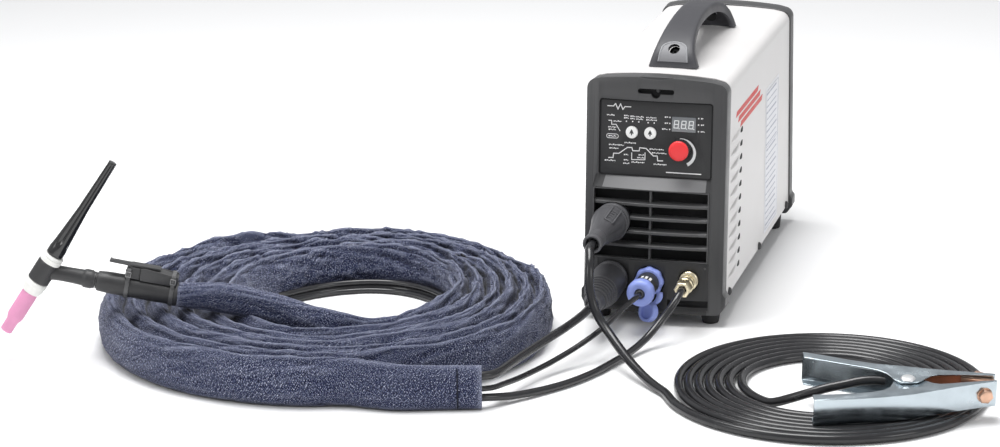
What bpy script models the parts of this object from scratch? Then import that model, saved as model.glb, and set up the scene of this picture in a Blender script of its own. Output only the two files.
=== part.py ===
"""Inverter TIG welding machine with its earth lead and clamp, and its torch on a sleeved cable.

Frame: metres, +Z up, floor at z = 0. The machine stands on four rubber feet with its base centre at the
origin, its front faces -Y and its right side is +X. Sizes below are in millimetres and become metres in
the shape functions.
"""
import math

import bmesh
import bpy
from mathutils import Matrix, Vector

MM = 0.001
GAP = 0.3

# Driving dimensions of the machine, in millimetres.
WIDTH = 170.0
DEPTH = 480.0
FOOT_HEIGHT = 16.0
CORNER_Z = 28.0
SHELL_HEIGHT = 267.0
FRONT_LEAN = math.atan(20.0 / SHELL_HEIGHT)
REAR_LEAN = math.atan(16.0 / SHELL_HEIGHT)
FRONT_Y = -DEPTH / 2
REAR_Y = DEPTH / 2
BOW = 10.0
BEZEL_DEPTH = 22.0
CROWN = 6.0
CORNER_RADIUS = 12.0
FOOT_FLARE = 3.5
SHEET = 1.5
OVERALL_REAR = 253.06
KNOB_X = 30.8
KNOB_Z = 187.3
HANDLE_X = 7.0

# Sockets on the lower front, as (x, z), and the seat plane of their flanges.
EARTH_AT = (-50.0, 125.0)
TORCH_AT = (-51.0, 54.0)
CONTROL_AT = (-3.0, 54.0)
GAS_AT = (44.5, 57.0)
EARTH_SEAT_Y = -236.0
LOWER_SEAT_Y = -241.5

# Leads and coils.
EARTH_RADIUS = 5.3
TORCH_LEAD_RADIUS = 5.0
CONTROL_RADIUS = 3.3
HOSE_RADIUS = 4.4
EARTH_COIL_CENTRE = (244.0, -433.0)
EARTH_COIL_OUTER = 180.0
EARTH_COIL_INNER = 99.0
SLEEVE_CENTRE = (-362.0, -374.0)
SLEEVE_OUTER = (262.0, 250.0)
SLEEVE_HOLE_CENTRE = (-344.0, -341.0)
SLEEVE_HOLE = (112.0, 148.0)
SLEEVE_HEIGHT = 58.0

# The torch and the clamp stand in planes that face the front right of the machine.
TOOL_TURN = math.radians(15.4)
TORCH_END = (-508.0, -497.0, 77.0)
HANDLE_TILT = math.radians(11.0)
HEAD_TILT = math.radians(56.3)
CLAMP_PIVOT = (343.4, -514.0, 32.5)
CLAMP_TURN = math.radians(17.6)
CLAMP_TILT = math.radians(9.0)

PARTS = None
CUTTERS = None
FRONT = None
REAR = None
MATERIALS = {
    "bezel_plastic": ((0.075, 0.075, 0.08), 0.5, 0.0),
    "panel_film": ((0.02, 0.02, 0.022), 0.4, 0.0),
    "display_lens": ((0.25, 0.26, 0.27), 0.15, 0.0),
    "button_white": ((0.85, 0.85, 0.83), 0.4, 0.0),
    "knob_black": ((0.03, 0.03, 0.03), 0.5, 0.0),
    "knob_red": ((0.8, 0.06, 0.06), 0.35, 0.0),
    "cover_paint": ((0.75, 0.75, 0.73), 0.4, 0.0),
    "dark_steel": ((0.18, 0.18, 0.19), 0.45, 0.7),
    "fan_plastic": ((0.04, 0.04, 0.04), 0.5, 0.0),
    "handle_plastic": ((0.11, 0.11, 0.12), 0.5, 0.0),
    "foot_rubber": ((0.02, 0.02, 0.02), 0.8, 0.0),
    "circuit_board": ((0.03, 0.2, 0.08), 0.5, 0.0),
    "aluminium": ((0.7, 0.71, 0.73), 0.35, 1.0),
    "copper": ((0.8, 0.4, 0.25), 0.3, 1.0),
    "brass": ((0.75, 0.58, 0.3), 0.25, 1.0),
    "plug_rubber": ((0.035, 0.035, 0.037), 0.6, 0.0),
    "blue_plastic": ((0.16, 0.2, 0.65), 0.4, 0.0),
    "cable_rubber": ((0.045, 0.045, 0.048), 0.5, 0.0),
    "denim": ((0.05, 0.08, 0.2), 0.9, 0.0),
    "torch_black": ((0.03, 0.03, 0.03), 0.45, 0.0),
    "insulator_white": ((0.85, 0.85, 0.84), 0.4, 0.0),
    "ceramic_pink": ((0.85, 0.35, 0.6), 0.5, 0.0),
    "zinc_steel": ((0.6, 0.65, 0.68), 0.25, 1.0),
}


def start_scene():
    """Empties the file and makes the two collections and the leaning frames of both ends."""
    global PARTS, CUTTERS, FRONT, REAR
    for thing in list(bpy.data.objects):
        bpy.data.objects.remove(thing, do_unlink=True)
    PARTS = bpy.data.collections.new("tig_welding_machine")
    CUTTERS = bpy.data.collections.new("cutters")
    for group in (PARTS, CUTTERS):
        bpy.context.scene.collection.children.link(group)
    FRONT = add_empty("front_frame", (0, FRONT_Y, CORNER_Z), Matrix.Rotation(-FRONT_LEAN, 4, "X"))
    REAR = add_empty("rear_frame", (0, REAR_Y, CORNER_Z), Matrix.Rotation(REAR_LEAN, 4, "X"))


def add_empty(name, at, turn):
    """A named empty that carries a group of pieces."""
    empty = bpy.data.objects.new(name, None)
    empty.matrix_world = Matrix.Translation(Vector(at) * MM) @ turn
    PARTS.objects.link(empty)
    return empty


def get_material(slot):
    """The Principled material of a slot, made on first use."""
    found = bpy.data.materials.get(slot)
    if found:
        return found
    colour, roughness, metallic = MATERIALS[slot]
    made = bpy.data.materials.new(slot)
    made.use_nodes = True
    shader = made.node_tree.nodes["Principled BSDF"]
    shader.inputs["Base Color"].default_value = (*colour, 1.0)
    shader.inputs["Roughness"].default_value = roughness
    shader.inputs["Metallic"].default_value = metallic
    return made


def place(name, data, slot, at=(0, 0, 0), axis=(0, 0, 1), parent=None):
    """Makes the object of a sub-part, its local +Z turned to axis, under its parent."""
    thing = bpy.data.objects.new(name, data)
    turn = Vector((0, 0, 1)).rotation_difference(Vector(axis)).to_matrix().to_4x4()
    thing.matrix_basis = Matrix.Translation(Vector(at) * MM) @ turn
    thing.parent = parent
    if slot is None:
        CUTTERS.objects.link(thing)
        thing.hide_render = True
        thing.display_type = "WIRE"
    else:
        PARTS.objects.link(thing)
        data.materials.append(get_material(slot))
    return thing


def finish_mesh(name, bm, smooth=True):
    """Turns a bmesh into a mesh with outward faces, smooth up to 35 degrees."""
    bmesh.ops.recalc_face_normals(bm, faces=bm.faces)
    mesh = bpy.data.meshes.new(name)
    bm.to_mesh(mesh)
    bm.free()
    if smooth:
        mesh.shade_smooth()
        mesh.set_sharp_from_angle(angle=math.radians(35))
    return mesh


def add_bevel(thing, width, segments=2, angle=40):
    """Rounds the edges that turn by more than the angle."""
    bevel = thing.modifiers.new("edges", "BEVEL")
    bevel.width = width * MM
    bevel.segments = segments
    bevel.limit_method = "ANGLE"
    bevel.angle_limit = math.radians(angle)


def box(name, slot, low, high, parent=None, bevel=0.0, segments=1):
    """A block between two corners, with its origin at its middle."""
    low, high = Vector(low), Vector(high)
    bm = bmesh.new()
    bmesh.ops.create_cube(bm, size=1.0)
    bmesh.ops.scale(bm, vec=(high - low) * MM, verts=bm.verts)
    thing = place(name, finish_mesh(name, bm, smooth=False), slot, (low + high) / 2, parent=parent)
    if bevel:
        add_bevel(thing, bevel, segments)
    return thing


def rod(name, slot, radius, length, at, axis=(0, 0, 1), parent=None, sides=24, tip_radius=None):
    """A cylinder or cone that starts at a point and runs along an axis."""
    bm = bmesh.new()
    top = radius if tip_radius is None else tip_radius
    bmesh.ops.create_cone(bm, cap_ends=True, segments=sides, radius1=radius * MM, radius2=top * MM,
                          depth=length * MM)
    bmesh.ops.translate(bm, vec=(0, 0, length * MM / 2), verts=bm.verts)
    return place(name, finish_mesh(name, bm), slot, at, axis, parent)


def turned(name, slot, profile, at, axis=(0, 0, 1), parent=None, steps=24):
    """A turned solid: profile is (radius, height) down its outer side, and back up a bore if it has one."""
    bm = bmesh.new()
    points = [bm.verts.new((radius * MM, 0, height * MM)) for radius, height in profile]
    for first, second in zip(points, points[1:]):
        bm.edges.new((first, second))
    if profile[0][0] > 0:
        bm.edges.new((points[-1], points[0]))
    mesh = bpy.data.meshes.new(name)
    bm.to_mesh(mesh)
    bm.free()
    thing = place(name, mesh, slot, at, axis, parent)
    screw = thing.modifiers.new("turn", "SCREW")
    screw.steps = screw.render_steps = steps
    screw.use_merge_vertices = True
    screw.merge_threshold = 0.00001
    return thing


def plate(name, slot, outline, thickness, at, turn=Matrix(), parent=None):
    """A flat outline, in its own XY plane, with a thickness centred on that plane."""
    curve = bpy.data.curves.new(name, "CURVE")
    curve.dimensions = "2D"
    curve.fill_mode = "BOTH"
    curve.extrude = thickness * MM / 2
    spline = curve.splines.new("POLY")
    spline.points.add(len(outline) - 1)
    for point, (x, y) in zip(spline.points, outline):
        point.co = (x * MM, y * MM, 0, 1)
    spline.use_cyclic_u = True
    drawn = bpy.data.objects.new("drawn", curve)
    CUTTERS.objects.link(drawn)
    bpy.context.view_layer.update()
    solid = bpy.data.meshes.new_from_object(drawn.evaluated_get(bpy.context.evaluated_depsgraph_get()))
    bpy.data.objects.remove(drawn, do_unlink=True)
    bm = bmesh.new()
    bm.from_mesh(solid)
    bmesh.ops.remove_doubles(bm, verts=bm.verts, dist=0.00001)
    bpy.data.meshes.remove(solid)
    thing = place(name, finish_mesh(name, bm, smooth=False), slot, at, parent=parent)
    thing.matrix_basis = Matrix.Translation(Vector(at) * MM) @ turn
    return thing


def loft(name, slot, rings, parent=None):
    """A closed skin through rings of equal point counts, capped at both ends."""
    bm = bmesh.new()
    made = [[bm.verts.new(Vector(point) * MM) for point in ring] for ring in rings]
    for near, far in zip(made, made[1:]):
        for index in range(len(near)):
            after = (index + 1) % len(near)
            bm.faces.new((near[index], near[after], far[after], far[index]))
    bm.faces.new(made[0])
    bm.faces.new(made[-1])
    return place(name, finish_mesh(name, bm), slot, parent=parent)


def combine(target, tool, operation="DIFFERENCE"):
    """Cuts the tool out of the target, or joins or intersects them."""
    step = target.modifiers.new(operation.lower(), "BOOLEAN")
    step.operation = operation
    step.solver = "EXACT"
    step.object = tool
    return target


def smooth_route(points, spacing):
    """Points at an even spacing along a Catmull-Rom curve through the route's own points."""
    ends = [2 * points[0] - points[1]] + points + [2 * points[-1] - points[-2]]
    fine = []
    for before, start, end, after in zip(ends, ends[1:], ends[2:], ends[3:]):
        for step in range(24):
            t = step / 24
            fine.append(0.5 * ((2 * start) + (end - before) * t
                               + (2 * before - 5 * start + 4 * end - after) * t ** 2
                               + (3 * start - before - 3 * end + after) * t ** 3))
    fine.append(points[-1])
    lengths = [0.0]
    for first, second in zip(fine, fine[1:]):
        lengths.append(lengths[-1] + (second - first).length)
    count = max(3, round(lengths[-1] / spacing))
    even = []
    index = 0
    for step in range(count):
        wanted = lengths[-1] * step / count
        while lengths[index + 1] < wanted:
            index += 1
        share = (wanted - lengths[index]) / (lengths[index + 1] - lengths[index])
        even.append(fine[index].lerp(fine[index + 1], share))
    return even + [points[-1]]


def tube(name, slot, route, radius, parent=None, spacing=None, resolution=2):
    """A cord or wire of round section along a smooth curve through the route."""
    points = smooth_route([Vector(point) * MM for point in route], (spacing or 3.2 * radius) * MM)
    curve = bpy.data.curves.new(name, "CURVE")
    curve.dimensions = "3D"
    curve.bevel_depth = radius * MM
    curve.bevel_resolution = resolution
    curve.use_fill_caps = True
    spline = curve.splines.new("POLY")
    spline.points.add(len(points) - 1)
    for point, co in zip(spline.points, points):
        point.co = (*co, 1)
    return place(name, curve, slot, parent=parent)


def arc(centre, radius, start, end, steps):
    """Points of a circular arc, in degrees."""
    turns = [math.radians(start + (end - start) * step / steps) for step in range(steps + 1)]
    return [(centre[0] + radius * math.cos(turn), centre[1] + radius * math.sin(turn)) for turn in turns]


def ellipse(centre, radii, steps, start=0.0, end=360.0):
    """Points of an ellipse, or of a stretch of one, in degrees."""
    count = steps if end - start >= 360 else steps + 1
    turns = [math.radians(start + (end - start) * step / steps) for step in range(count)]
    return [(centre[0] + radii[0] * math.cos(t), centre[1] + radii[1] * math.sin(t)) for t in turns]


# ---------------------------------------------------------------- the machine's shell

def crowned_top(half_width, top, crown, radius, inset=0.0):
    """The crowned roof line with its rounded corners, from the right side to the left."""
    crown_radius = (half_width ** 2 + crown ** 2) / (2 * crown)
    swing = math.degrees(math.asin((half_width - radius) / crown_radius))
    right = arc((half_width - radius, top - radius), radius - inset, 0, 90 - swing, 4)
    roof = arc((0, top + crown - crown_radius - 0.5), crown_radius - inset, 90 - swing, 90 + swing, 8)[1:-1]
    return right + roof + [(-x, z) for x, z in reversed(right)]


def shell_outline(half_width, top, crown, radius):
    """The cross-section of both bezels above the corner height: crowned top, flared and chamfered foot."""
    foot = [(half_width - 6, -CORNER_Z + FOOT_HEIGHT - 1), (half_width + FOOT_FLARE, -1),
            (half_width + FOOT_FLARE, 8), (half_width, 13)]
    left_foot = [(-x, z) for x, z in reversed(foot)]
    return foot + crowned_top(half_width, top, crown, radius) + left_foot


def arch_outline(inset, radius, floor):
    """The same outline moved in by an inset, with a flat floor in place of the foot."""
    half = WIDTH / 2 - inset
    return [(half, floor)] + crowned_top(half, SHELL_HEIGHT - inset, CROWN, radius) + [(-half, floor)]


def upright(outline, name, slot, thickness, y_middle, parent):
    """A plate whose outline stands in the XZ plane of its parent."""
    return plate(name, slot, outline, thickness, (0, y_middle, 0), Matrix.Rotation(math.pi / 2, 4, "X"), parent)


def make_front_bezel():
    """The moulded front: bowed face, panel recess, notched slot, air opening and socket seats."""
    outline = shell_outline(WIDTH / 2, SHELL_HEIGHT, CROWN, CORNER_RADIUS)
    bezel = upright(outline, "front_bezel", "bezel_plastic", 60, BEZEL_DEPTH - 30, FRONT)
    half = WIDTH / 2 + 5
    bow_radius = (half ** 2 + BOW ** 2) / (2 * BOW)
    swing = math.degrees(math.asin((half - 7) / bow_radius))
    face = arc((0, bow_radius - BOW), bow_radius, 270 - swing, 270 + swing, 11)
    plan = [(half, 60), (-half, 60), (-half, 7), (-half + 2, 2)] + face + [(half - 2, 2), (half, 7)]
    combine(bezel, plate("bezel_plan", None, plan, 400, (0, 0, 130), parent=FRONT), "INTERSECT")
    combine(bezel, upright(arch_outline(3.5, 9.0, -9.0), "bezel_hollow", None, 40, 24.0, FRONT))
    cuts = [("low_slot", (19, -21, -4), (68, -2.4, 4.1)), ("recess", (-69, -20, 151), (69, -0.2, 244)),
            ("window", (-64, -22, 156.2), (64, 20, 239.1)), ("card_slot", (-21.5, -23, 252.6), (22.5, -3.5, 258.6)),
            ("notch", (-4.4, -24, 248), (5.6, -3.4, 253)), ("air_opening", (-75.5, -25, 50), (67, 21, 136))]
    for name, low, high in cuts:
        combine(bezel, box("cut_" + name, None, low, high, FRONT))
    seats = [("earth", EARTH_AT, EARTH_SEAT_Y, 22.0, 17.0), ("torch", TORCH_AT, LOWER_SEAT_Y, 22.0, 17.0),
             ("control", CONTROL_AT, LOWER_SEAT_Y, 18.6, 14.0), ("gas", GAS_AT, LOWER_SEAT_Y, 12.5, 8.0)]
    for name, (x, z), seat, flange, body in seats:
        combine(bezel, rod("seat_" + name, None, flange, 40, (x, seat, z), (0, -1, 0)))
        combine(bezel, rod("hole_" + name, None, body + GAP, 60, (x, seat + 30, z), (0, -1, 0)))


def make_front_grille():
    """The slatted insert of the air opening: four slats and a divider in one rim."""
    grille = box("front_grille", "bezel_plastic", (-75.2, -6.5, 50.3), (66.7, 2.5, 135.7), FRONT)
    pitch = 16.9
    for row in range(5):
        low = 52.3 + row * pitch
        for side, start, end in (("left", -72.7, -6.2), ("right", -2.8, 64.2)):
            combine(grille, box("air_%d_%s" % (row, side), None, (start, -20, low), (end, 20, low + pitch - 3.6),
                                FRONT))
    for name, (x, z), flange in (("earth", EARTH_AT, 22.0), ("torch", TORCH_AT, 22.0)):
        combine(grille, rod("clear_" + name, None, flange + GAP, 90, (x, EARTH_SEAT_Y + 40, z), (0, -1, 0)))


def make_control_panel():
    """The overlay with its lens, two sprung buttons and the adjusting knob."""
    panel = box("control_panel", "panel_film", (-68.5, -2.5, 151.5), (68.5, -0.5, 243.5), FRONT)
    combine(panel, box("lens_hole", None, (18.7, -9, 207.4), (48.3, 9, 226.0), FRONT))
    box("display_window", "display_lens", (19, -2.8, 207.7), (48, 1.0, 225.7), FRONT)
    for name, x in (("button_left", -29.3), ("button_right", -6.8)):
        combine(panel, rod("hole_" + name, None, 7.7, 20, (x, 9, 204.2), (0, -1, 0), FRONT))
        button = rod(name, "button_white", 7.4, 9.0, (x, 4.5, 204.2), (0, -1, 0), FRONT)
        add_bevel(button, 0.8, 1)
    combine(panel, rod("shaft_hole", None, 3.6, 20, (KNOB_X, 9, KNOB_Z), (0, -1, 0), FRONT))
    knurl = []
    for tooth in range(24):
        turn = math.radians(tooth * 15)
        for shift, radius in ((-0.06, 12.2), (0.0, 11.5)):
            knurl.append((radius * math.cos(turn + shift), radius * math.sin(turn + shift)))
    knob = upright(knurl, "dial_knob", "knob_black", 12.6, 0, FRONT)
    knob.location = Vector((KNOB_X, -3.2 - 6.3, KNOB_Z)) * MM
    combine(knob, rod("dial_shaft", None, 3.0, 16, (KNOB_X, 8, KNOB_Z), (0, -1, 0), FRONT), "UNION")
    turned("dial_cap", "knob_red", [(0, 3.6), (10.6, 3.6), (12.0, 2.4), (12.0, 0), (0, 0)],
           (KNOB_X, -3.2 - 12.6 - GAP, KNOB_Z), (0, -1, 0), FRONT)


def make_cover():
    """The bent sheet cover: an inverted U with a crowned roof, pressed air slots and slanted ends."""
    half = WIDTH / 2 - 0.6
    bottom = CORNER_Z + 1.0
    top = CORNER_Z + SHELL_HEIGHT - 1.0
    outer = crowned_top(half, top, 5.0, 13.0)
    inner = crowned_top(half, top, 5.0, 13.0, inset=SHEET)
    outline = [(half, bottom)] + outer + [(-half, bottom)]
    outline += [(-half + SHEET, bottom)] + inner[::-1] + [(half - SHEET, bottom)]
    front = FRONT_Y + BEZEL_DEPTH + GAP
    rear = REAR_Y - BEZEL_DEPTH - GAP
    rings = []
    for y, lean in ((front, FRONT_LEAN), (rear, -REAR_LEAN)):
        rings.append([(x, y + math.tan(lean) * (z - CORNER_Z), z) for x, z in outline])
    cover = loft("steel_cover", "cover_paint", rings)
    for row in range(11):
        z = 52.0 + row * 16.8
        y = -206 + 0.075 * (z - 52)
        combine(cover, box("louvre_%02d" % row, None, (-100, y, z), (100, y + 60, z + 4)))


def make_base():
    """The base pan that everything inside stands on, and its four feet."""
    pan = box("base_pan", "dark_steel", (-79, -212, FOOT_HEIGHT + 3), (79, 212, FOOT_HEIGHT + 24))
    combine(pan, box("pan_hollow", None, (-77, -210, FOOT_HEIGHT + 5), (77, 210, FOOT_HEIGHT + 40)))
    for side, x in (("left", -67.0), ("right", 67.0)):
        for end, y, top in (("front", -221.0, FOOT_HEIGHT - 3 - GAP), ("rear", 198.0, FOOT_HEIGHT + 3 - GAP)):
            name = "foot_%s_%s" % (end, side)
            turned(name, "foot_rubber", [(0, top), (11.5, top), (10, 1), (9, 0), (0, 0)], (x, y, 0), steps=16)


def make_rear():
    """The rear bezel, its panel, the fan, the power switch, the cable gland and the gas inlet."""
    outline = shell_outline(WIDTH / 2, SHELL_HEIGHT, CROWN, CORNER_RADIUS)
    bezel = upright(outline, "rear_bezel", "bezel_plastic", BEZEL_DEPTH, -BEZEL_DEPTH / 2, REAR)
    combine(bezel, upright(arch_outline(6.0, 8.0, 2.0), "rear_opening", None, 60, 0, REAR))
    panel = upright(arch_outline(6.5, 8.0, 2.5), "rear_panel", "dark_steel", 2.0, -15, REAR)
    combine(panel, rod("fan_hole", None, 56, 20, (0, -5, 178), (0, -1, 0), REAR, sides=40))
    combine(panel, box("switch_hole", None, (-62.3, -30, 62.7), (-31.7, 0, 99.3), REAR))
    combine(panel, rod("gland_hole", None, 10.3, 30, (0, 0, 40), (0, -1, 0), REAR))
    combine(panel, rod("inlet_hole", None, 7.3, 30, (48, 0, 40), (0, -1, 0), REAR))
    make_fan()
    body = box("power_switch_body", "fan_plastic", (-66, -13.7, 59), (-28, -9, 103), REAR)
    combine(body, box("switch_back", None, (-62, -45, 63), (-32, -11, 99), REAR), "UNION")
    combine(body, box("rocker_well", None, (-57, -24, 68), (-37, 5, 94), REAR))
    plate("power_rocker", "knob_red", [(-11.6, -5), (11.6, -5), (12.2, 1.8), (0, -0.5), (-12, 4.2)], 19.0,
          (-47, -14, 81), Matrix.Rotation(math.pi / 2, 4, "Y"), REAR)
    turned("mains_gland", "fan_plastic", [(14, 26), (16, 22), (16, 14.4), (18, 14.2), (18, 0.3), (10, 0.3),
                                           (10, -14), (5.5, -14), (5.5, 26)], (0, -14, 40), (0, 1, 0), REAR)
    inlet_y = OVERALL_REAR - REAR_Y + 14 + 2.6
    turned("gas_inlet", "brass", [(4.5, inlet_y), (5.5, inlet_y - 4), (4.5, inlet_y - 5), (4.5, 12), (11, 12),
                                   (11, 0.3), (7, 0.3), (7, -14), (3, -14), (3, inlet_y)],
           (48, -14, 40), (0, 1, 0), REAR)


def make_fan():
    """The axial fan: a square frame with a finger guard and motor stay, and its bladed rotor."""
    frame = box("fan_frame", "fan_plastic", (-60, -54, 118), (60, -16.3, 238), REAR)
    combine(frame, rod("fan_duct", None, 55, 80, (0, 10, 178), (0, -1, 0), REAR, sides=40))
    for radius in (16.0, 30.0, 43.0):
        combine(frame, turned("guard_%d" % radius, None, [(radius + 1.2, -19), (radius + 1.2, -22),
                                                            (radius - 1.2, -22), (radius - 1.2, -19)],
                              (0, 0, 178), (0, 1, 0), REAR, steps=32), "UNION")
    for turn in (0, 60, 120):
        spoke = box("spoke_%d" % turn, None, (-57, -22.5, 176.6), (57, -18.5, 179.4), REAR)
        spoke.rotation_mode = "XYZ"
        spoke.rotation_euler = (0, math.radians(turn), 0)
        combine(frame, spoke, "UNION")
    rotor = rod("fan_rotor", "fan_plastic", 19, 24, (0, -26, 178), (0, -1, 0), REAR, sides=28)
    for blade in range(7):
        turn = math.radians(blade * 360 / 7)
        vane = box("vane_%d" % blade, None, (-9, -1.0, 15), (9, 1.0, 51))
        vane.parent = REAR
        vane.matrix_basis = (Matrix.Translation(Vector((0, -37, 178)) * MM) @ Matrix.Rotation(turn, 4, "Y")
                             @ Matrix.Translation(Vector((0, 0, 33)) * MM) @ Matrix.Rotation(0.6, 4, "Z"))
        combine(rotor, vane, "UNION")


def make_handle():
    """The carrying handle: a moulded arch, wide at its two feet and narrow at the grip."""
    start, end, height = -168.0, 84.0, 48.5
    foot_z = CORNER_Z + SHELL_HEIGHT + 3.9
    middle = (start + end) / 2
    reach = (end - start) / 2
    rings = []
    stations = 22
    for step in range(stations + 1):
        turn = math.pi * (1 - step / stations)
        grip = math.sin(turn) ** 0.8
        half = 30.0 - 13.0 * grip
        depth = 15.0 - 1.5 * grip
        outer = (middle + reach * math.cos(turn), foot_z + height * math.sin(turn) ** 0.85)
        inner = (middle + (reach - depth) * math.cos(turn), foot_z + (height - depth) * math.sin(turn) ** 0.8)
        rings.append([(HANDLE_X - half, *outer), (HANDLE_X + half, *outer), (HANDLE_X + half, *inner),
                      (HANDLE_X - half, *inner)])
    handle = loft("carry_handle", "handle_plastic", rings)
    add_bevel(handle, 2.0, 1, 50)
    combine(handle, rod("front_well", None, 7.0, 40, (HANDLE_X, -149.6, 313.2), (0, -0.80, 0.60)))
    combine(handle, rod("rear_well", None, 7.0, 40, (HANDLE_X, 65.6, 313.2), (0, 0.80, 0.60)))


# ---------------------------------------------------------------- inside the machine

def make_internals():
    """Boards, heat sink, transformer and gas valve, each standing clear on the base pan."""
    floor = FOOT_HEIGHT + 5 + GAP
    box("control_board", "circuit_board", (-60, FRONT_Y + 30, 175), (60, FRONT_Y + 32, 262))
    board = box("main_board", "circuit_board", (-70, -150, 150), (70, 130, 152))
    combine(board, box("board_notch", None, (-75, -20, 140), (-40, 20, 160)))
    sink = box("heat_sink", "aluminium", (-60, -130, 85), (60, 90, 140))
    for fin in range(7):
        x = -52.0 + fin * 15
        combine(sink, box("fin_gap_%d" % fin, None, (x, -140, 70), (x + 9, 100, 132)))
    box("transformer", "copper", (-45, -60, floor), (45, 30, 80), bevel=4.0, segments=2)
    box("gas_valve", "brass", (30, 100, floor), (66, 150, floor + 45), bevel=2.0)


# ---------------------------------------------------------------- sockets and plugs

def make_sockets():
    """The four fixed outlets of the front, each with a flange on its seat and a body through the wall."""
    for name, (x, z), seat in (("earth_socket", EARTH_AT, EARTH_SEAT_Y), ("torch_socket", TORCH_AT, LOWER_SEAT_Y)):
        turned(name, "plug_rubber", [(0, 8.3), (19, 8.3), (20.5, 7), (21, 0.3), (17, 0.3), (17, -22), (0, -22)],
               (x, seat, z), (0, -1, 0))
    turned("control_socket", "blue_plastic", [(0, 12), (16, 12), (17.8, 10.5), (17.8, 0.3), (14, 0.3), (14, -18),
                                               (0, -18)], (CONTROL_AT[0], LOWER_SEAT_Y, CONTROL_AT[1]), (0, -1, 0))
    turned("gas_outlet", "brass", [(0, 12), (8, 12), (8, 8), (11.3, 7), (11.3, 0.3), (8, 0.3), (8, -20), (0, -20)],
           (GAS_AT[0], LOWER_SEAT_Y, GAS_AT[1]), (0, -1, 0))


def make_plugs():
    """What is plugged in: earth plug, torch plug, control plug with its hanging cap, and hose coupler."""
    x, z = EARTH_AT
    turned("earth_plug", "plug_rubber",
           [(0, 101), (9.6, 101), (10.6, 98), (11.5, 70), (18.2, 30), (20.5, 22), (21.5, 18),
            (21.5, 2), (20, 0), (0, 0)], (x, EARTH_SEAT_Y - 8.6, z), (0, -1, 0))
    x, z = TORCH_AT
    turned("torch_plug", "plug_rubber",
           [(0, 88), (9.0, 88), (10.0, 84), (20.0, 62), (20.5, 40), (21.5, 36), (22.0, 2),
            (20.5, 0), (0, 0)], (x, LOWER_SEAT_Y - 9.8, z), (0, -1, -0.05))
    x, z = CONTROL_AT
    turned("control_plug", "plug_rubber",
           [(0, 48), (15, 48), (16.4, 46), (16.4, 34), (13.5, 33), (13.5, 0), (0, 0)],
           (x, LOWER_SEAT_Y - 12.3, z), (0, -1, 0))
    turned("dust_cap", "blue_plastic", [(0, 9), (11, 9), (12.5, 7.5), (12.5, 0), (0, 0)],
           (2.0, -262.0, 20.5), (-0.45, -0.8, 0.25))
    x, z = GAS_AT
    turned("gas_coupler", "brass", [(0, 30), (9.4, 30), (10.2, 28), (10.2, 12), (9.0, 11), (9.0, 0), (0, 0)],
           (x, LOWER_SEAT_Y - 12.3, z), (0, -1, 0), steps=12)


# ---------------------------------------------------------------- leads, hose, sleeve and coils

EARTH_LEAD_ROUTE = [(-50, -346.8, 125), (-50, -356, 125), (-49, -362, 122.4), (-47, -368, 118.5), (-45, -378, 109),
                    (-43.6, -384.5, 96), (-42, -388, 82), (-37, -391, 65), (-28, -396, 50), (-15, -406, 38),
                    (0, -422, 28), (18, -443, 19), (40, -467, 10.5), (58, -486, 6.5), (71, -501, 5.6)]
EARTH_TAIL_ROUTE = [(186, -505, 5.6), (198, -513, 9), (217, -521, 18), (236, -523, 26), (256, -521, 33),
                    (275, -517, 37.5), (291, -512, 41), (306, -508, 42)]
TORCH_LEAD_ROUTE = [(-51, -340.0, 49.6), (-51, -350, 49.1), (-56, -371, 45.5), (-66, -407, 42), (-77, -439, 39),
                    (-87, -474, 37), (-95.5, -508, 36), (-101, -540, 36), (-104, -560, 36.5), (-109.5, -575, 37),
                    (-114.3, -580.8, 37.5)]
CONTROL_LEAD_ROUTE = [(-3, -302.5, 54), (-3, -310, 54), (-6, -319, 52.6), (-13, -341, 48.5), (-22, -369, 41),
                      (-33, -392, 33), (-46, -413, 25.5), (-60, -435, 19), (-73, -458, 14.5), (-85, -484, 12.5),
                      (-95, -513, 13), (-103, -542, 16), (-109, -567, 19.5), (-115.5, -581.5, 22)]
GAS_HOSE_ROUTE = [(44.5, -285.0, 57), (44.5, -294, 56.6), (42, -302, 51), (36, -305, 43), (27, -319, 29),
                  (15, -344, 14.5), (3, -375, 7), (-9, -409, 4.8), (-20, -444, 4.7), (-32, -472, 4.7),
                  (-45, -496, 4.7), (-60, -518, 5), (-75, -538, 6), (-90, -556, 7.5), (-104, -572, 10),
                  (-114.5, -582, 12)]


def make_leads():
    """The stretches of cord that lie free between the machine, the sleeve and the earth coil."""
    tube("earth_lead", "cable_rubber", EARTH_LEAD_ROUTE, EARTH_RADIUS)
    tube("earth_tail", "cable_rubber", EARTH_TAIL_ROUTE, EARTH_RADIUS)
    tube("torch_lead", "cable_rubber", TORCH_LEAD_ROUTE, TORCH_LEAD_RADIUS)
    tube("control_lead", "cable_rubber", CONTROL_LEAD_ROUTE, CONTROL_RADIUS)
    tube("gas_hose", "cable_rubber", GAS_HOSE_ROUTE, HOSE_RADIUS)
    x, y = EARTH_COIL_CENTRE
    turned("earth_coil", "cable_rubber",
           [(EARTH_COIL_OUTER - 3, 10.8), (EARTH_COIL_OUTER, 8), (EARTH_COIL_OUTER, 3), (EARTH_COIL_OUTER - 3, 0),
            (EARTH_COIL_INNER + 3, 0), (EARTH_COIL_INNER, 3), (EARTH_COIL_INNER, 8), (EARTH_COIL_INNER + 3, 10.8)],
           (x, y, 0), steps=48)


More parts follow.
